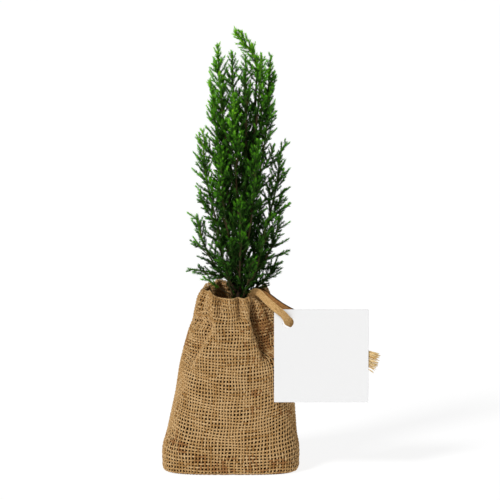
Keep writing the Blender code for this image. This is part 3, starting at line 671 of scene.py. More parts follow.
def fold_depth(x, z, folds):
    """How far the fine folds draw the cloth in at these places."""
    drawn = np.zeros_like(x)
    for x0, z0, x1, z1, wide_left, wide_right, depth in folds:
        along = np.array([x1 - x0, z1 - z0])
        t = np.clip(((x - x0) * along[0] + (z - z0) * along[1]) / (along @ along), 0, 1)
        across, up = x - x0 - along[0] * t, z - z0 - along[1] * t
        away = np.maximum(np.hypot(across, up), TINY)
        side = (across * -along[1] + up * along[0]) / (away * np.hypot(*along))
        wide = wide_left + (wide_right - wide_left) * fade(side, -1.0, 1.0)
        drawn = drawn + depth * np.exp(-((away / wide) ** 2))
    return drawn


def cloth(angle, share, inset=0.0):
    """Points of the sack's cloth at these angles in degrees and shares of its height."""
    angle, share = np.broadcast_arrays(np.asarray(angle, float), np.asarray(share, float))
    level = share * SACK_HEIGHT
    half_width, half_depth, shift = np.moveaxis(smooth_table(SACK_SECTIONS, level), -1, 0)
    drawn = np.zeros_like(angle)
    for at, depth, wide, low in PLEATS:
        drawn = drawn + depth * bump(angle, at, wide) * fade(share, low, 1.0)
    for at, middle, depth, wide, tall in TUCKS:
        drawn = drawn + depth * bump(angle, at, wide) * np.exp(-(((level - middle) / tall) ** 2))
    turn = np.radians(angle)
    power = 2 / (SACK_SQUARENESS + FOOT_SQUARER * (1 - fade(level, *FOOT_REACH)))
    c, s = np.cos(turn), np.sin(turn)
    x = half_width * np.sign(c) * np.abs(c) ** power
    y = half_depth * np.sign(s) * np.abs(s) ** power
    far = np.hypot(x, y)
    keep = (far - drawn - inset) / far
    lift = rim_lift(angle) * fade(share, RIM_RISE_START, 1.0)
    keep = keep + RIM_LEAN * lift * fade(share, RIM_RISE_START, 1.0) / far
    height = level + lift
    x, y = shift + x * keep, y * keep
    pressed = np.where(y < 0, fold_depth(x, level, FRONT_FOLDS), fold_depth(x, level, BACK_FOLDS))
    pressed = pressed * fade(np.abs(y) / half_depth, *FOLDS_FADE)
    outward = unit(np.stack([(x - shift) / half_width**2, y / half_depth**2], -1))
    return np.stack([x - outward[..., 0] * pressed, y - outward[..., 1] * pressed, height], -1)


class Panel:
    """The front or back of the sack, as a map from threads (across, up) to places on the cloth."""

    ROWS = 121
    ACROSS = 361
    REACH = 90.0
    PLACES = 361
    JUST_BELOW = 0.001

    def __init__(self, middle):
        self.middle = middle
        self.shares = np.linspace(0, 1, self.ROWS)
        angles = np.linspace(middle - 90, middle + 90, self.ACROSS)
        grid = cloth(angles[None, :], self.shares[:, None])
        steps = np.linalg.norm(np.diff(grid, axis=1), axis=2)
        run = np.concatenate([np.zeros((self.ROWS, 1)), np.cumsum(steps, 1)], 1)
        run -= run[:, [self.ACROSS // 2]]
        width = run[:, -1] - run[:, 0]
        self.gather = (width / width.max()) ** GATHER
        self.places = np.linspace(-self.REACH, self.REACH, self.PLACES)
        self.table = np.stack([np.interp(self.places, run[i], angles) for i in range(self.ROWS)])
        self.low, self.high = run[:, 0], run[:, -1]
        self.heights = run_lengths(grid[:, self.ACROSS // 2])
        self.rows = self.heights[-1] / THREAD_PITCH

    def sag(self, s, v):
        """How far the rows of weave rise to both sides of the sack's middle."""
        off = (s - SAG_X) / SAG_REACH
        rise = np.where(off > 0, SAG_RIGHT, SAG_LEFT) * off**2
        eased, *heights = SAG_EASES
        return rise * fade(v, *SAG_GROWS) * (1 - eased * fade(v, *heights))

    def place(self, a, b):
        """Angle, share of height, inset and whether it is on this panel, for thread numbers across and up."""
        phases = (self.middle, STRAY_PHASE)
        drift = sum(far * np.sin(p * a + q * b + phase) for (far, p, q), phase in zip(STRAYS_ACROSS, phases))
        s = (a + drift) * THREAD_PITCH
        v = b * THREAD_PITCH
        if self.middle < 0:
            v = v + self.sag(s, v)
        for far, p, q in STRAYS_UP:
            v = v + far * THREAD_PITCH * np.sin(p * a + q * b)
        top = self.heights[-1]
        over = np.maximum(v - top, 0.0)
        inset = HEM_FOLD * fade(over, 0.0, HEM_TURN)
        v = np.clip(np.where(over > 0, 2 * top - v, v), 0.0, top)
        share = np.interp(v, self.heights, self.shares)
        s = s * np.interp(share, self.shares, self.gather)
        row = np.clip(share * (self.ROWS - 1), 0, self.ROWS - 1 - self.JUST_BELOW)
        last = self.PLACES - 1
        column = np.clip((s + self.REACH) / (2 * self.REACH) * last, 0, last - self.JUST_BELOW)
        i, j = row.astype(int), column.astype(int)
        f, g = row - i, column - j
        t = self.table
        lower = t[i, j] * (1 - g) + t[i, j + 1] * g
        upper = t[i + 1, j] * (1 - g) + t[i + 1, j + 1] * g
        angle = lower * (1 - f) + upper * f
        low, high = np.interp(share, self.shares, self.low), np.interp(share, self.shares, self.high)
        inside = (s > low - PANEL_OVERLAP) & (s < high + PANEL_OVERLAP)
        return angle, share, inset, inside

    def surface(self, a, b):
        """Points, outward normals and the mask of those on this panel."""
        angle, share, inset, inside = self.place(a, b)
        points = cloth(angle, share, inset)
        aside, up = NUDGES
        turn = cloth(angle + aside, share, inset) - cloth(angle - aside, share, inset)
        above, below = np.minimum(share + up, 1.0), np.maximum(share - up, 0)
        rise = cloth(angle, above, inset) - cloth(angle, below, inset)
        return points, unit(np.cross(turn, rise)), inside


def runs_of(mask, shortest):
    """Start and end of each stretch of true values of at least this many."""
    edges = np.flatnonzero(np.diff(np.concatenate([[0], mask.astype(int), [0]])))
    return [(a, b) for a, b in zip(edges[::2], edges[1::2]) if b - a >= shortest]


def yarn_slot(point, last, rng):
    """Which yarn a stretch of thread is: mostly straw and tan, russet in small real stains and, right of the
    main front fold, as painted shade.
    """
    stain_and_shade = 0.0
    if point[1] < 0:
        for x, z, size, chance in STAIN_AND_SHADE_SPOTS:
            off = math.hypot(point[0] - x, point[2] - z) / size
            stain_and_shade = max(stain_and_shade, chance * math.exp(-(off**2)))
    # russet near a spot: real stains, and painted shade in the two spots right of the main fold
    if rng.random() < stain_and_shade:
        return RUSSET_AND_SHADE
    if last is not None and last < RUSSET_AND_SHADE and rng.random() < YARN_HOLDS:
        return last
    return int(np.searchsorted(YARN_CHANCES, rng.random()))


def wall_slots(kinds, sides):
    """Slots for the faces of a tube, given one for each stretch between its rings."""
    walls = np.repeat(kinds, sides)
    return np.concatenate([walls, walls, np.full(2 * (sides - 2), kinds[-1])])


def add_thread(batch, points, normals, wave, rng, width):
    """One thread of the weave, thicker and thinner along its length."""
    count = len(points)
    knots = np.arange(0, count + SLUB_STEP + 1, SLUB_STEP)
    slub = 1.0 + SLUB * np.interp(np.arange(count), knots, [rng.uniform(-1, 1) for _ in knots])
    path = points + normals * wave[:, None]
    path[:, 2] = np.maximum(path[:, 2], FLOOR_GAP)
    kinds = []
    kind = None
    for i in range(count - 1):
        if i % STRETCH == 0:
            kind = yarn_slot(points[min(i + STRETCH // 2, count - 1)], kind, rng)
        kinds.append(kind)
    slots = wall_slots(kinds, THREAD_SIDES)
    batch.add_tube(path, normals, width * slub, THREAD_HALF_THICKNESS * slub**0.5, THREAD_SIDES, slots)


def weave(panel, rng):
    """All threads of one panel, over and under each other."""
    batch = Batch()

    def add_threads(a, b, wave, width):
        points, normals, inside = panel.surface(a, b)
        for start, end in runs_of(inside, SHORTEST_RUN):
            span = slice(start, end)
            add_thread(batch, points[span], normals[span], wave[span], rng, width)

    top = panel.rows + HEM_ROWS
    b = np.arange(FIRST_ROW, top, THREAD_STEP)
    for k in range(-THREADS_BESIDE, THREADS_BESIDE + 1):
        a = np.full(len(b), float(k)) + rng.uniform(-THREAD_WANDER, THREAD_WANDER)
        add_threads(a, b, THREAD_WAVE * np.cos(np.pi * b) * (-1) ** k, THREAD_HALF_WIDTH)
    a = np.arange(-THREADS_BESIDE, THREADS_BESIDE + THREAD_STEP, THREAD_STEP)
    for j in range(int(top)):
        b = np.full(len(a), j + rng.uniform(-THREAD_WANDER, THREAD_WANDER))
        add_threads(a, b, -THREAD_WAVE * np.cos(np.pi * a) * (-1) ** j, THREAD_HALF_WIDTH * WEFT_SHARE)
    return batch


def closed_loft(rings):
    """Points and triangles of a stack of closed rings, both ends filled from a middle point."""
    rings = np.asarray(rings)
    count, sides = rings.shape[:2]
    faces = tube_faces(count, sides, closed=False)
    low, high = rings[0].mean(0), rings[-1].mean(0)
    points = np.concatenate([rings.reshape(-1, 3), [low, high]])
    k = np.arange(sides)
    last = (count - 1) * sides
    low_fan = np.stack([np.full(sides, count * sides), (k + 1) % sides, k], -1)
    high_fan = np.stack([np.full(sides, count * sides + 1), last + k, last + (k + 1) % sides], -1)
    return points, np.concatenate([faces, low_fan, high_fan])


def make_lining(outside, inside):
    """A thin layer behind the weave, closed below and open at the mouth: its dark outer face is painted shade
    seen through the weave's holes, its brown inner face painted light inside the shaded mouth.
    """
    angles = all_round(180)[None, :]
    shares = np.linspace(0.0, LINING_TOP, LINING_ROWS)[:, None]
    outer = cloth(angles, shares, LINING_INSET)
    inner = cloth(angles, shares[::-1], LINING_INSET + LINING_THICKNESS)
    for layer, lowest in zip((outer, inner), LINING_LOWEST):
        layer[..., 2] = np.maximum(layer[..., 2], lowest)
    batch = Batch()
    points, faces = closed_loft(np.concatenate([outer, inner]))
    batch.add(points, faces, (faces.max(1) >= outer[..., 0].size).astype(int))
    batch.build("sack_lining", [outside, inside], "burlap")


def make_seam(cloth_yarn, seam_yarn_and_shade):
    """A rolled seam along the foot of the sack, of two plied yarns whose dark colour is partly painted shade,
    and the cloth under it.
    """
    batch = Batch()
    edge = cloth(all_round(360), *SEAM_PLACE)
    edge[:, 2] = SEAM_HEIGHT
    loop = np.concatenate([edge, edge[:1]])
    turn = np.linspace(0, 2 * np.pi * SEAM_TWISTS, len(loop))
    out = unit(loop - loop[:-1].mean(0))
    for phase in (0.0, np.pi):
        wind = SEAM_WIND[0] * np.cos(turn + phase)[:, None] * out
        wind[:, 2] += SEAM_WIND[1] * np.sin(turn + phase)
        batch.add_tube(loop + wind, out, *SEAM_YARN, 6, 1)
    height, thickness = UNDERSIDE
    relief, waves = UNDERSIDE_WEAVE
    middle = edge.mean(0)
    rings = []
    for share in np.linspace(*UNDERSIDE_SHARES):
        ring = edge.copy()
        ring[:, :2] = middle[:2] + (edge[:, :2] - middle[:2]) * share
        ring[:, 2] = height + relief * np.sin(ring[:, 0] * waves) * np.sin(ring[:, 1] * waves)
        rings.append(ring)
    top = [ring + [0, 0, thickness] for ring in rings]
    points, faces = closed_loft(rings[::-1] + top)
    batch.add(points, faces, 0)
    batch.build("sack_seam", [cloth_yarn, seam_yarn_and_shade], "burlap")


def make_sack(looks):
    rng = random.Random(SEED)
    yarns = looks["yarns"]
    front = weave(Panel(-90.0), rng).build("burlap_front", yarns, "burlap")
    weave(Panel(90.0), rng).build("burlap_back", yarns, "burlap")
    make_lining(*looks["lining_painted_shade"], *looks["inside"])
    make_seam(yarns[2], *looks["seam"])
    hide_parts("sack")


def make_soil(materials):
    """The root ball's dark crumbly soil, with a rough top."""
    rng = random.Random(SEED + 1)
    angles = all_round(SOIL_SIDES)
    rings = []
    for share in np.linspace(*SOIL_SHARES):
        ring = cloth(angles, share, SOIL_INSET)
        ring[:, 2] = share * SACK_HEIGHT
        rings.append(ring)
    rim = rings[-1]
    middle = rim.mean(0)
    for share in np.linspace(*SOIL_TOP_SHARES):
        ring = middle + (rim - middle) * share
        rough = [rng.uniform(-SOIL_ROUGH, SOIL_ROUGH) for _ in angles]
        ring[:, 2] = SOIL_HEIGHT - SOIL_DROP[0] + np.array(rough)
        rings.append(ring)
    batch = Batch()
    points, faces = closed_loft(rings)
    batch.add(points, faces, 0)
    for _ in range(CRUMBS):
        turn, out = rng.uniform(0, 2 * np.pi), rng.random() ** 0.5 * CRUMB_REACH
        where = middle + (rim[int(turn / (2 * np.pi) * SOIL_SIDES) % SOIL_SIDES] - middle) * out
        where[2] = SOIL_HEIGHT - SOIL_DROP[1]
        crumb = np.array(OCTAHEDRON) * rng.uniform(*CRUMB_SIZES)
        crumb = crumb * [rng.uniform(*CRUMB_WIDTHS), rng.uniform(*CRUMB_WIDTHS), rng.uniform(*CRUMB_HEIGHTS)]
        batch.add(crumb + where, np.array(OCTAHEDRON_FACES), 0)
    soil = batch.build("soil", materials, "soil")
    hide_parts("root_ball")


# Trunk, boughs and foliage
def trunk_path():
    return curve_through(TRUNK_LINE, TRUNK_RINGS)


def trunk_radius(height):
    foot, tip = TRUNK_LINE[0][2], TRUNK_LINE[-1][2]
    share = (height - foot) / (tip - foot)
    taper = TRUNK_RADIUS + (TRUNK_TIP_RADIUS - TRUNK_RADIUS) * share
    return taper + TRUNK_FLARE * np.exp(-(height - foot) / FLARE_HEIGHT)


def trunk_at(height):
    path = trunk_path()
    return np.array([np.interp(height, path[:, 2], path[:, k]) for k in range(3)])


def plume_path(foot_height, azimuth, reach, tip_height):
    foot = trunk_at(foot_height)
    turn = math.radians(azimuth)
    tip = np.array([CROWN_X + math.cos(turn) * reach, math.sin(turn) * reach, tip_height])
    across = np.array([tip[0] - foot[0], tip[1] - foot[1], 0])
    rise = np.array([0, 0, tip[2] - foot[2]])
    first = foot + across * LEAVING[0] + rise * LEAVING[1]
    second = tip - across * ARRIVING[0] - rise * ARRIVING[1]
    t = np.linspace(0, 1, PATH_STEPS + 1)[:, None]
    s = 1 - t
    return foot * s**3 + first * 3 * t * s**2 + second * 3 * t**2 * s + tip * t**3


def segment_distance(point, path):
    starts, along = path[:-1], np.diff(path, axis=0)
    t = np.clip(((point - starts) * along).sum(1) / (along * along).sum(1), 0, 1)
    return np.linalg.norm(starts + along * t[:, None] - point, axis=1).min()


def stem_start(points, sunk, trunk_line):
    gap = trunk_radius(points[0][2]) + CLEAR + sunk
    start = 0.0
    while segment_distance(points_along(points, [start])[0], trunk_line) < gap:
        start += START_STEP
    return start


def cut_path(points, start, end=None, step=STEM_STEP):
    end = run_lengths(points)[-1] if end is None else end
    count = max(3, round((end - start) / step) + 1)
    return points_along(points, np.linspace(start, end, count))


def clear_of_sack(points):
    half_width, half_depth, shift = smooth_table(SACK_SECTIONS, SACK_HEIGHT)
    across, deep = (points[:, 0] - shift) / half_width, points[:, 1] / half_depth
    outside = np.hypot(across, deep) > MOUTH_SHARE
    over_rim = points[:, 2] > SACK_HEIGHT + rim_lift(np.degrees(np.arctan2(deep, across))) + OVER_RIM
    return np.where(outside, over_rim, points[:, 2] > SOIL_HEIGHT + OVER_SOIL).all()


def inside_crown(points):
    left, right = np.moveaxis(smooth_table(CROWN_OUTLINE, points[:, 2]), -1, 0)
    half = np.maximum((right - left) / 2, CROWN_NARROWEST[0])
    across, deep = (points[:, 0] - left - half) / half, points[:, 1] / (half * CROWN_DEPTH)
    return (np.hypot(across, deep) < CROWN_MARGIN).all()


def crown_share(point):
    """Where a point lies between the crown's middle and its outline, and how far to the right."""
    left, right = smooth_table(CROWN_OUTLINE, point[2])
    half = max((right - left) / 2, CROWN_NARROWEST[1])
    aside = (point[0] - (right + left) / 2) / half
    deep = point[1] / (half * CROWN_DEPTH)
    return min(math.hypot(aside, deep), CROWN_SHARE_LIMIT), aside


def bent_path(root, tangent, outward, lean, length, turns_up, count):
    """A path that leaves a stem at an angle and turns towards the stem's own direction."""
    angle = lean * (1 - turns_up * np.linspace(0, 1, count - 1)[:, None])
    steps = (tangent * np.cos(angle) + outward * np.sin(angle)) * length / (count - 1)
    return np.concatenate([[root], root + np.cumsum(steps, axis=0)])


class Foliage:
    """Twigs and needles of all the plumes, gathered into joined meshes."""

    def __init__(self):
        self.rng = random.Random(SEED)
        self.wood = Batch()
        self.needles = [Batch()]
        self.bounded = True
        self.paler = 0.0

    def add_needles(self, path, start, shades, size, pitch):
        """Needles in whorls along a path, the last ones lighter and closing to a tuft."""
        total = run_lengths(path)[-1]
        stations = np.arange(start + NEEDLE_ENDS[0], total + NEEDLE_ENDS[1], pitch)
        whorls = len(stations)
        if whorls < 2:
            return
        count = whorls * NEEDLES_ROUND
        wild = np.random.default_rng(self.rng.randrange(1 << 30))
        centres = points_along(path, stations)
        beyond, behind = np.minimum(stations + NEEDLE_SLOPE[0], total), stations - NEEDLE_SLOPE[1]
        ahead = unit(points_along(path, beyond) - points_along(path, behind))
        side = unit(np.cross(ahead, WOOD_UP))
        other = np.cross(ahead, side)
        stems = (centres, ahead, side, other)
        centres, ahead, side, other = (np.repeat(v, NEEDLES_ROUND, axis=0) for v in stems)
        stray, tilt = NEEDLE_STRAYS
        turn = np.tile(np.arange(NEEDLES_ROUND), whorls) * 2 * np.pi / NEEDLES_ROUND
        turn = turn + np.repeat(np.arange(whorls), NEEDLES_ROUND) * WHORL_TURN
        turn = turn + wild.uniform(-stray, stray, count)
        out = side * np.cos(turn)[:, None] + other * np.sin(turn)[:, None]
        closing = np.repeat(fade(stations, total - TUFT[0], total), NEEDLES_ROUND)
        lean = np.radians(NEEDLE_ANGLE + wild.uniform(-tilt, tilt, count)) * (1 - TUFT[1] * closing)
        along = ahead * np.cos(lean)[:, None] + out * np.sin(lean)[:, None]
        long = (size * NEEDLE_LENGTH * wild.uniform(*NEEDLE_LENGTHS, count))[:, None]
        flat = unit(np.cross(along, out))
        under = np.cross(flat, along)
        root = centres + out * NEEDLE_LIFT
        middle = root + along * long * NEEDLE_WIDEST - under * NEEDLE_LIFT
        wide = flat * (size * NEEDLE_HALF_WIDTH * wild.uniform(*NEEDLE_WIDTHS, count))[:, None]
        tip = root + along * long + ahead * long * TIP_AHEAD
        points = np.stack([root, tip, middle + wide, middle - wide], 1)
        faces = np.array([[0, 2, 1], [0, 1, 3], [0, 3, 2], [1, 2, 3]])
        faces = (faces[None] + 4 * np.arange(count)[:, None, None]).reshape(-1, 3)
        part = np.searchsorted(SHADES_CHANGE, stations / total)
        slots = np.repeat(np.array(shades)[part], NEEDLES_ROUND * 4)
        if self.needles[-1].triangles + len(faces) > PIECE_LIMIT:
            self.needles.append(Batch())
        self.needles[-1].add(points.reshape(-1, 3), faces, slots)

    def add_wood(self, path, radii, slot, sides=3):
        self.wood.add_tube(path, WOOD_UP, radii, radii, sides, slot)

    def fitting_path(self, sprout, full, turns_up, count):
        """The first of the tries that stays over the sack and inside the crown, or None."""
        root, tangent, outward, lean = sprout
        for portion, bend in TRIES:
            path = bent_path(root, tangent, outward, lean * bend, full * portion, turns_up, count)
            if clear_of_sack(path) and (inside_crown(path) or not self.bounded):
                return path
        return None

    def shades(self, point, share):
        """Three greens for the foot, middle and tip of a twig: outer and upper twigs get paler greens as
        painted light, twigs to the right darker ones as painted shade, and end twigs are paler too.
        """
        out, aside = crown_share(point)
        level = (point[2] - SHADE_HEIGHTS[0]) / SHADE_HEIGHTS[1]
        out = out * fade(point[2], *PALE_FROM)
        outer, along, up, right = SHADE_WEIGHTS
        # paler outwards and upwards, darker to the right: painted light and shade
        value = outer * out + along * share + up * level - right * aside + self.paler
        value += self.rng.uniform(-SHADE_VARIES, SHADE_VARIES)
        return np.searchsorted(SHADE_STEPS, value + np.array(SHADE_PARTS))

    def sprouts(self, path, first, last, pitch, angle, closing):
        """Places round a stem by the golden angle: (distance, share, (root, tangent, outward, lean))."""
        rng = self.rng
        total = run_lengths(path)[-1]
        turn = rng.uniform(0, 360)
        at = first
        while at < total - last:
            share = at / total
            root = points_along(path, [at])[0]
            tangent = unit(points_along(path, [min(at + 1, total)])[0] - points_along(path, [at - 1])[0])
            aside = unit(np.cross(tangent, SPROUT_SIDE))
            azimuth = math.radians(turn)
            outward = aside * math.cos(azimuth) + np.cross(tangent, aside) * math.sin(azimuth)
            lean = math.radians(angle - closing * share + rng.uniform(-TWIG_SWAY, TWIG_SWAY))
            yield total - at, share, (root, tangent, outward, lean)
            at += (pitch[0] + (pitch[1] - pitch[0]) * share) * rng.uniform(*PITCH_VARIES)
            turn += GOLDEN_ANGLE

    def grow(self, path, reach, level=0, bare=0.0, longest=math.inf):
        """A stem with its twigs, and on a plume's main stem also shoots, which are small plumes."""
        rng = self.rng
        end = unit(path[-1] - path[-2])
        away = np.array([path[-1][0] - CROWN_X, path[-1][1], 0.0])
        ahead = unit(end + unit(away) * reach[1])
        tip = path[-1] + ahead * np.linspace(0, 1, TIP_POINTS)[1:, None] * reach[0]
        if clear_of_sack(tip):
            path = np.concatenate([path, tip])
        total = run_lengths(path)[-1]
        thick = 1.0 - SHOOT_THINNER * level
        radii = np.linspace(STEM_RADIUS, STEM_TIP_RADIUS, len(path)) * thick
        self.add_wood(path, radii, 0, STEM_SIDES - level)
        if level == 0:
            pitch = (SHOOT_PITCH, SHOOT_PITCH)
            shoots = self.sprouts(path, SHOOT_FIRST, SHOOT_LAST, pitch, SHOOT_ANGLE, SHOOT_CLOSING)
            for left, _, sprout in shoots:
                full = min(max(left * SHOOT_SHARE, SHOOT_LENGTHS[0]), SHOOT_LENGTHS[1])
                full *= rng.uniform(*TWIG_VARIES)
                shoot = self.fitting_path(sprout, full, SHOOT_TURNS_UP, SHOOT_POINTS)
                if shoot is not None:
                    self.grow(shoot, SHOOT_REACH, 1)
        first = bare * total + TWIG_FIRST[0] + TWIG_FIRST[1] * level
        for left, share, sprout in self.sprouts(path, first, TWIG_LAST, TWIG_PITCH, TWIG_ANGLE, TWIG_CLOSING):
            full = min(TWIG_LONGEST[level], longest, TWIG_SHORTEST + TWIG_GROWTH * left)
            full *= rng.uniform(*TWIG_VARIES)
            if rng.random() < SHORT_TWIGS[0]:
                full *= SHORT_TWIGS[1]
            twig = self.fitting_path(sprout, full, TWIG_TURNS_UP, TWIG_POINTS)
            if twig is not None and not self.left_open(twig[-1]):
                self.add_twig(twig, sprout, share)
        start, along, size = STEM_NEEDLES
        self.add_needles(path, total * max(start, bare), self.shades(path[-1], along), size, NEEDLE_PITCH[1])

    def left_open(self, tip):
        """Whether a twig low at the crown's edge is left out, to let the sky through."""
        edge, height, chance = OPEN_EDGE
        return crown_share(tip)[0] > edge and tip[2] < height and self.rng.random() < chance

    def add_twig(self, twig, sprout, share):
        """A twig with its needles and, where it is long enough, twiglets to both sides."""
        rng = self.rng
        _, tangent, outward, _ = sprout
        length = run_lengths(twig)[-1]
        inner = crown_share(twig[-1])[0] < INNER_SHARE
        shades = self.shades(twig[-1], share)
        self.add_wood(twig, np.linspace(TWIG_RADIUS, TWIG_TIP_RADIUS, len(twig)), 1)
        bare = 0.0 if inner else length * TWIG_BARE
        self.add_needles(twig, bare, shades, 1.0, NEEDLE_PITCH[0] if inner else NEEDLE_PITCH[1])
        if length < TWIGS_WITH_TWIGLETS:
            return
        start, size, wider = TWIGLET_NEEDLES
        pitch = NEEDLE_PITCH[0] if inner else NEEDLE_PITCH[1] * wider
        sway, lift = TWIGLET_SWAY
        flat = unit(np.cross(outward, tangent))
        hand = 1
        s = length * TWIGLET_ENDS[0]
        while s < length - TWIGLET_ENDS[1]:
            root = points_along(twig, [s])[0]
            ahead = unit(points_along(twig, [s + 1])[0] - points_along(twig, [s - 1])[0])
            lean = math.radians(TWIGLET_ANGLE + rng.uniform(-sway, sway))
            along = ahead * math.cos(lean) + flat * hand * math.sin(lean) + outward * rng.uniform(-lift, lift)
            long = (TWIGLET_SHARE * (length - s) + TWIGLET_SHORTEST) * rng.uniform(*TWIGLET_VARIES)
            path = root + unit(along) * np.linspace(0, 1, 3)[:, None] * long
            if clear_of_sack(path) and inside_crown(path):
                self.add_wood(path, np.linspace(TWIG_TIP_RADIUS * TWIGLET_THICKER, TWIG_TIP_RADIUS, 3), 1)
                self.add_needles(path, start, shades, size, pitch)
            hand = -hand
            s += TWIGLET_PITCH * rng.uniform(*PITCH_VARIES)

    def line_trunk(self, path):
        """Short dark twigs up the trunk, inside the plumes."""
        height = np.interp(TRUNK_TWIG_TOP, path[:, 2], run_lengths(path))
        lower = points_along(path, np.arange(0.0, height, STEM_STEP))
        ends, pitch = (TRUNK_TWIG_FIRST, TRUNK_TWIG_LAST), (TRUNK_TWIG_PITCH, TRUNK_TWIG_PITCH)
        for _, _, sprout in self.sprouts(lower, *ends, pitch, TRUNK_TWIG_ANGLE, TRUNK_TWIG_CLOSING):
            full = self.rng.uniform(*TRUNK_TWIG_LENGTHS)
            root, tangent, outward, lean = sprout
            sprout = (root + outward * trunk_radius(root[2]) * TRUNK_TWIG_SINK, tangent, outward, lean)
            twig = self.fitting_path(sprout, full, TRUNK_TWIG_TURNS_UP, TWIG_POINTS)
            if twig is not None:
                self.add_twig(twig, sprout, 0.0)


def bark_tube(batch, path, radii, sides, rng, relief):
    """A limb with ridged, flaking bark."""
    count = len(path)
    ring = tube(path, BARK_UP, radii, radii, sides).reshape(count, sides, 3)
    centre = path[:, None]
    phases = np.array([rng.uniform(0, 6.28) for _ in range(sides)])
    rows = np.arange(count)[:, None]
    ridge = sum(np.sin(rows * turn + phases * times) * 0.5 for turn, times in BARK_WAVES)
    rough = [[rng.uniform(-BARK_ROUGH, BARK_ROUGH) for _ in range(sides)] for _ in range(count)]
    ring = centre + (ring - centre) * (1 + relief * (ridge + np.array(rough)))[..., None]
    batch.add(ring.reshape(-1, 3), faces_for(count, sides), 0)


def make_tree(bark, woods, needles):
    """The trunk and boughs in bark, and the twigs and needles that grow on from them."""
    rng = random.Random(SEED + 2)
    trunk_line = trunk_path()
    limbs = Batch()
    rings, sides, relief = TRUNK_BARK
    fine = curve_through(TRUNK_LINE, rings)
    bark_tube(limbs, fine, trunk_radius(fine[:, 2]), sides, rng, relief)
    step, sides, relief = BOUGH_BARK
    foliage = Foliage()
    for tier, (bare, rows) in TIERS.items():
        for row in rows:
            points = plume_path(*row)
            sunk = BOUGH_RADIUS * BOUGH_SINK if bare else STEM_RADIUS * STEM_SINK
            start = stem_start(points, sunk, trunk_line)
            if bare:
                bough_end = start + bare * run_lengths(points)[-1]
                bough = cut_path(points, start - BOUGH_BACK, bough_end, step)
                radii = np.linspace(BOUGH_RADIUS, BOUGH_TIP_RADIUS, len(bough))
                bark_tube(limbs, bough, radii, sides, rng, relief)
                start = bough_end
            foliage.grow(cut_path(points, start - STEM_BACK), TIP_REACH[tier])
    top = curve_through([trunk_line[-2], trunk_line[-1], LEADER_BEND, LEADER_TIP], PATH_STEPS * 2)
    above = run_lengths(trunk_line[-2:])[-1]
    foliage.paler = LEADER_PALER
    foliage.grow(cut_path(top, above - STEM_BACK), LEADER_REACH)
    foliage.bounded = False
    for side in LEADER_SIDES:
        foliage.grow(curve_through(side, SHOOT_POINTS), LEADER_REACH, 1)
    foliage.paler = 0.0
    foliage.grow(curve_through(LOW_TWIG, LOW_TWIG_POINTS), (0.0, 0.0), 1, LOW_TWIG_BARE, LOW_TWIG_LONGEST)
    foliage.bounded = True
    foliage.line_trunk(trunk_line)
    trunk = limbs.build("bark", bark, "bark")
    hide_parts("trunk", *[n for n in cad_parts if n.startswith("bough")])
    foliage.wood.build("twigs", woods, "bark")
    masses = [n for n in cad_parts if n.startswith("foliage")]
    for n, batch in enumerate(foliage.needles, 1):
        piece = batch.build(f"needles_{n}", needles, "foliage", smooth=False)
        if n == 1:
            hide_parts(*masses)


# Cords and tag
def make_cords(looks):
    """Each cord is a flat band of parallel strands, and frays at its end."""
    rng = random.Random(SEED + 3)
    hole = np.array(TAG_CENTRE) + [TAG_HOLE[0], 0, TAG_HOLE[1]]
    t = np.linspace(0, 1, CORD_POINTS)
    for name, run in CORD_RUNS.items():
        batch = Batch()
        path = curve_through(run, CORD_POINTS)
        ahead = tangents(path)
        side = unit(np.stack([-ahead[:, 2], np.zeros(len(path)), ahead[:, 0]], -1))
        normal = np.cross(ahead, side)
        near = np.exp(-((np.linalg.norm(path - hole, axis=1) / SPREAD_REACH) ** 2))
        spread = 1 + CORD_SPREAD * near * (name == "cord_front")
        for k in range(CORD_STRANDS):
            # the back cord's top strand is a painted shadow line, its others painted shade in darker reds
            shadow_edge = name == "cord_back" and k == CORD_STRANDS - 1
            colour = SHADOW_EDGE_STRAND if shadow_edge else k % 2
            off = (k / (CORD_STRANDS - 1) * 2 - 1) * (CORD_HALF_WIDTH - STRAND_MARGIN) * spread
            far, *turns = STRAND_WANDER
            wander = far * np.sin(t * rng.uniform(*turns) + rng.uniform(0, 6))
            arch = 1 - (off / spread / CORD_HALF_WIDTH) ** 2
            crown = STRAND_CROWN * np.sqrt(np.maximum(0.0, arch))[:, None]
            line = path + side * (off + wander)[:, None]
            more, *turns = STRAND_SWELL
            for face in (-1, 1):
                thick = STRAND_RADIUS * spread * (1 + more * np.sin(t * rng.uniform(*turns)))
                batch.add_tube(line + normal * face * crown, normal, thick, thick * STRAND_FLAT, 6, colour)
        for _ in range(HAIRS):
            i = rng.randrange(3, len(path) - 6)
            start = path[i] + side[i] * rng.uniform(-1, 1) * CORD_HALF_WIDTH * 0.95
            hair = rng.uniform(-0.5, 0.5) * side[i] + ahead[i] + normal[i] * rng.uniform(-0.5, 0.5)
            stray = start + unit(hair) * np.linspace(0, rng.uniform(*HAIR_LENGTHS), 4)[:, None]
            batch.add_tube(stray, HAIR_UP, HAIR_RADIUS, HAIR_RADIUS, 3, 0)
        cord = batch.build(name + "_band", looks[name], "cord")
        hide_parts(name)
        frayed_end(name, path, side[-1], looks["frayed"], rng)


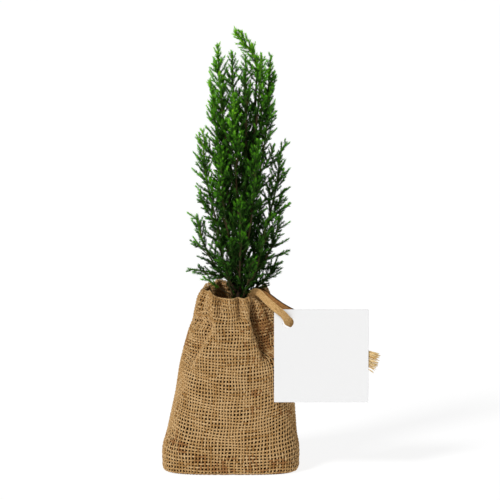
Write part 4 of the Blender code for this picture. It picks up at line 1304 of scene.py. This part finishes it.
def frayed_end(name, path, side, materials, rng):
    """Loose strands that spread from the end of a cord."""
    upper, lower = TASSEL_FANS[name]
    far, *turns = FRAYED_CURL
    batch = Batch()
    t = np.linspace(0, 1, FRAYED_POINTS)[:, None]
    thick = np.linspace(*FRAYED_RADII, FRAYED_POINTS)
    for k in range(FRAYED_STRANDS):
        f = (k + 0.5) / FRAYED_STRANDS
        slope = math.radians(-(upper + (lower - upper) * f + rng.uniform(-FRAYED_SWAY, FRAYED_SWAY)))
        long = TASSEL_LENGTH * rng.uniform(*FRAYED_LENGTHS)
        begin = path[-1] + side * (1 - 2 * f) * CORD_HALF_WIDTH * FRAYED_ROOTS
        drift = np.array([0, rng.uniform(-FRAYED_DRIFT, FRAYED_DRIFT), 0])
        along = np.array([math.cos(slope), 0, math.sin(slope)]) + drift
        bend = np.array([0, *(rng.uniform(*ends) for ends in FRAYED_BENDS)])
        curl = far * np.sin(t * rng.uniform(*turns)) * np.array([0, 0.6, 1])
        strand = begin + along * t * long + bend * t**2 + curl
        batch.add_tube(strand, (0, 1, 0), thick, thick, 5, rng.randrange(len(materials)))
    tassel = name.replace("cord", "tassel")
    piece = batch.build(tassel + "_strands", materials, "cord")
    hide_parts(tassel)


def make_tag(material):
    """The bare card: corners that are nearly square, a round hole, and softly rounded edges."""
    straight = TAG_SIDE / 2 - TAG_CORNER
    corners = []
    for quarter, (sx, sz) in enumerate(((1, 1), (-1, 1), (-1, -1), (1, -1))):
        for degrees in range(0, 91, TAG_CORNER_STEP):
            turn = math.radians(90 * quarter + degrees)
            x, z = sx * straight + TAG_CORNER * math.cos(turn), sz * straight + TAG_CORNER * math.sin(turn)
            corners.append((x, z))
    outline = np.array(corners)
    hole = np.array(TAG_HOLE)
    to_corners = np.arctan2(outline[:, 1] - hole[1], outline[:, 0] - hole[0])
    turns = np.sort(np.concatenate([2 * np.pi * np.arange(TAG_RING) / TAG_RING - np.pi, to_corners]))
    ways = np.stack([np.cos(turns), np.sin(turns)], -1)
    edge = np.array([hole + way * ray_to_edge(hole, way, outline) for way in ways])
    shrunk = edge - unit(edge - edge.mean(0)) * TAG_SOFTNESS
    inner = hole + ways * TAG_HOLE_RADIUS
    grown = inner + ways * TAG_SOFTNESS
    face = TAG_THICKNESS / 2
    side = face * 0.5
    section = (
        (grown, -face), (shrunk, -face), (edge, -side), (edge, side), (shrunk, face),
        (grown, face), (inner, side), (inner, -side), (grown, -face),
    )
    rings = [np.insert(points, 1, depth, axis=1) + TAG_CENTRE for points, depth in section]
    batch = Batch()
    batch.add(np.concatenate(rings), tube_faces(len(rings), len(ways), closed=False), 0)
    tag = batch.build("tag_card", [material], "card", smooth=False)
    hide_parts("tag")


def ray_to_edge(start, direction, outline):
    """How far a ray runs inside a closed outline."""
    best = math.inf
    for a, b in zip(outline, np.roll(outline, -1, axis=0)):
        along = b - a
        cross = direction[0] * along[1] - direction[1] * along[0]
        if abs(cross) < PARALLEL:
            continue
        gap = a - start
        far = (gap[0] * along[1] - gap[1] * along[0]) / cross
        part = (gap[0] * direction[1] - gap[1] * direction[0]) / cross
        if far > 0 and -SLACK <= part <= 1 + SLACK:
            best = min(best, far)
    return best


# Stage, lights and camera
def make_stage():
    floor_mesh = bpy.data.meshes.new("floor")
    corners = [(x * FLOOR_REACH, y * FLOOR_REACH, 0) for x, y in ((-1, -1), (1, -1), (1, 1), (-1, 1))]
    floor_mesh.from_pydata(corners, [], [(0, 1, 2, 3)])
    floor = bpy.data.objects.new("floor", floor_mesh)
    bpy.context.scene.collection.objects.link(floor)
    white = plain(*FLOOR)
    glow = {"Emission Color": (1, 1, 1, 1), "Emission Strength": FLOOR_GLOW}
    set_inputs(white.node_tree.nodes["Principled BSDF"], glow)
    floor_mesh.materials.append(white)
    world = bpy.data.worlds.new("studio")
    world.use_nodes = True
    set_inputs(world.node_tree.nodes["Background"], {"Color": (1, 1, 1, 1), "Strength": SKY_STRENGTH})
    bpy.context.scene.world = world
    sun = bpy.data.lights.new("key", "SUN")
    sun.energy = SUN_STRENGTH
    sun.angle = math.radians(SUN_SOFTNESS)
    key = bpy.data.objects.new("key", sun)
    key.rotation_euler = [math.radians(a) for a in SUN_TURN]
    bpy.context.scene.collection.objects.link(key)
    bpy.context.scene.view_settings.view_transform = "Standard"


def make_camera():
    lens = bpy.data.cameras.new("camera")
    lens.sensor_width = SENSOR
    lens.lens = SENSOR * CAMERA_DISTANCE / PICTURE_WIDTH
    camera = bpy.data.objects.new("camera", lens)
    tilt = math.radians(CAMERA_ELEVATION)
    x, y, z = PICTURE_MIDDLE
    camera.location = (
        x * MM,
        (y - CAMERA_DISTANCE * math.cos(tilt)) * MM,
        (z + CAMERA_DISTANCE * math.sin(tilt)) * MM,
    )
    camera.rotation_euler = (math.pi / 2 - tilt, 0, 0)
    bpy.context.scene.collection.objects.link(camera)
    bpy.context.scene.camera = camera


def main():
    looks = {}
    for group, (finish, rows) in SPECKLED.items():
        looks[group] = [speckled(name, dark, light, *finish) for name, dark, light in rows]
    make_sack(looks)
    make_soil(looks["soil"])
    woods = [plain(*row) for row in WOODS]
    make_tree(looks["bark"], woods, [plain(name, colour, *GREENS_FINISH) for name, colour in GREENS])
    make_cords(looks)
    make_tag(plain(*CARD))
    make_stage()
    make_camera()


main()
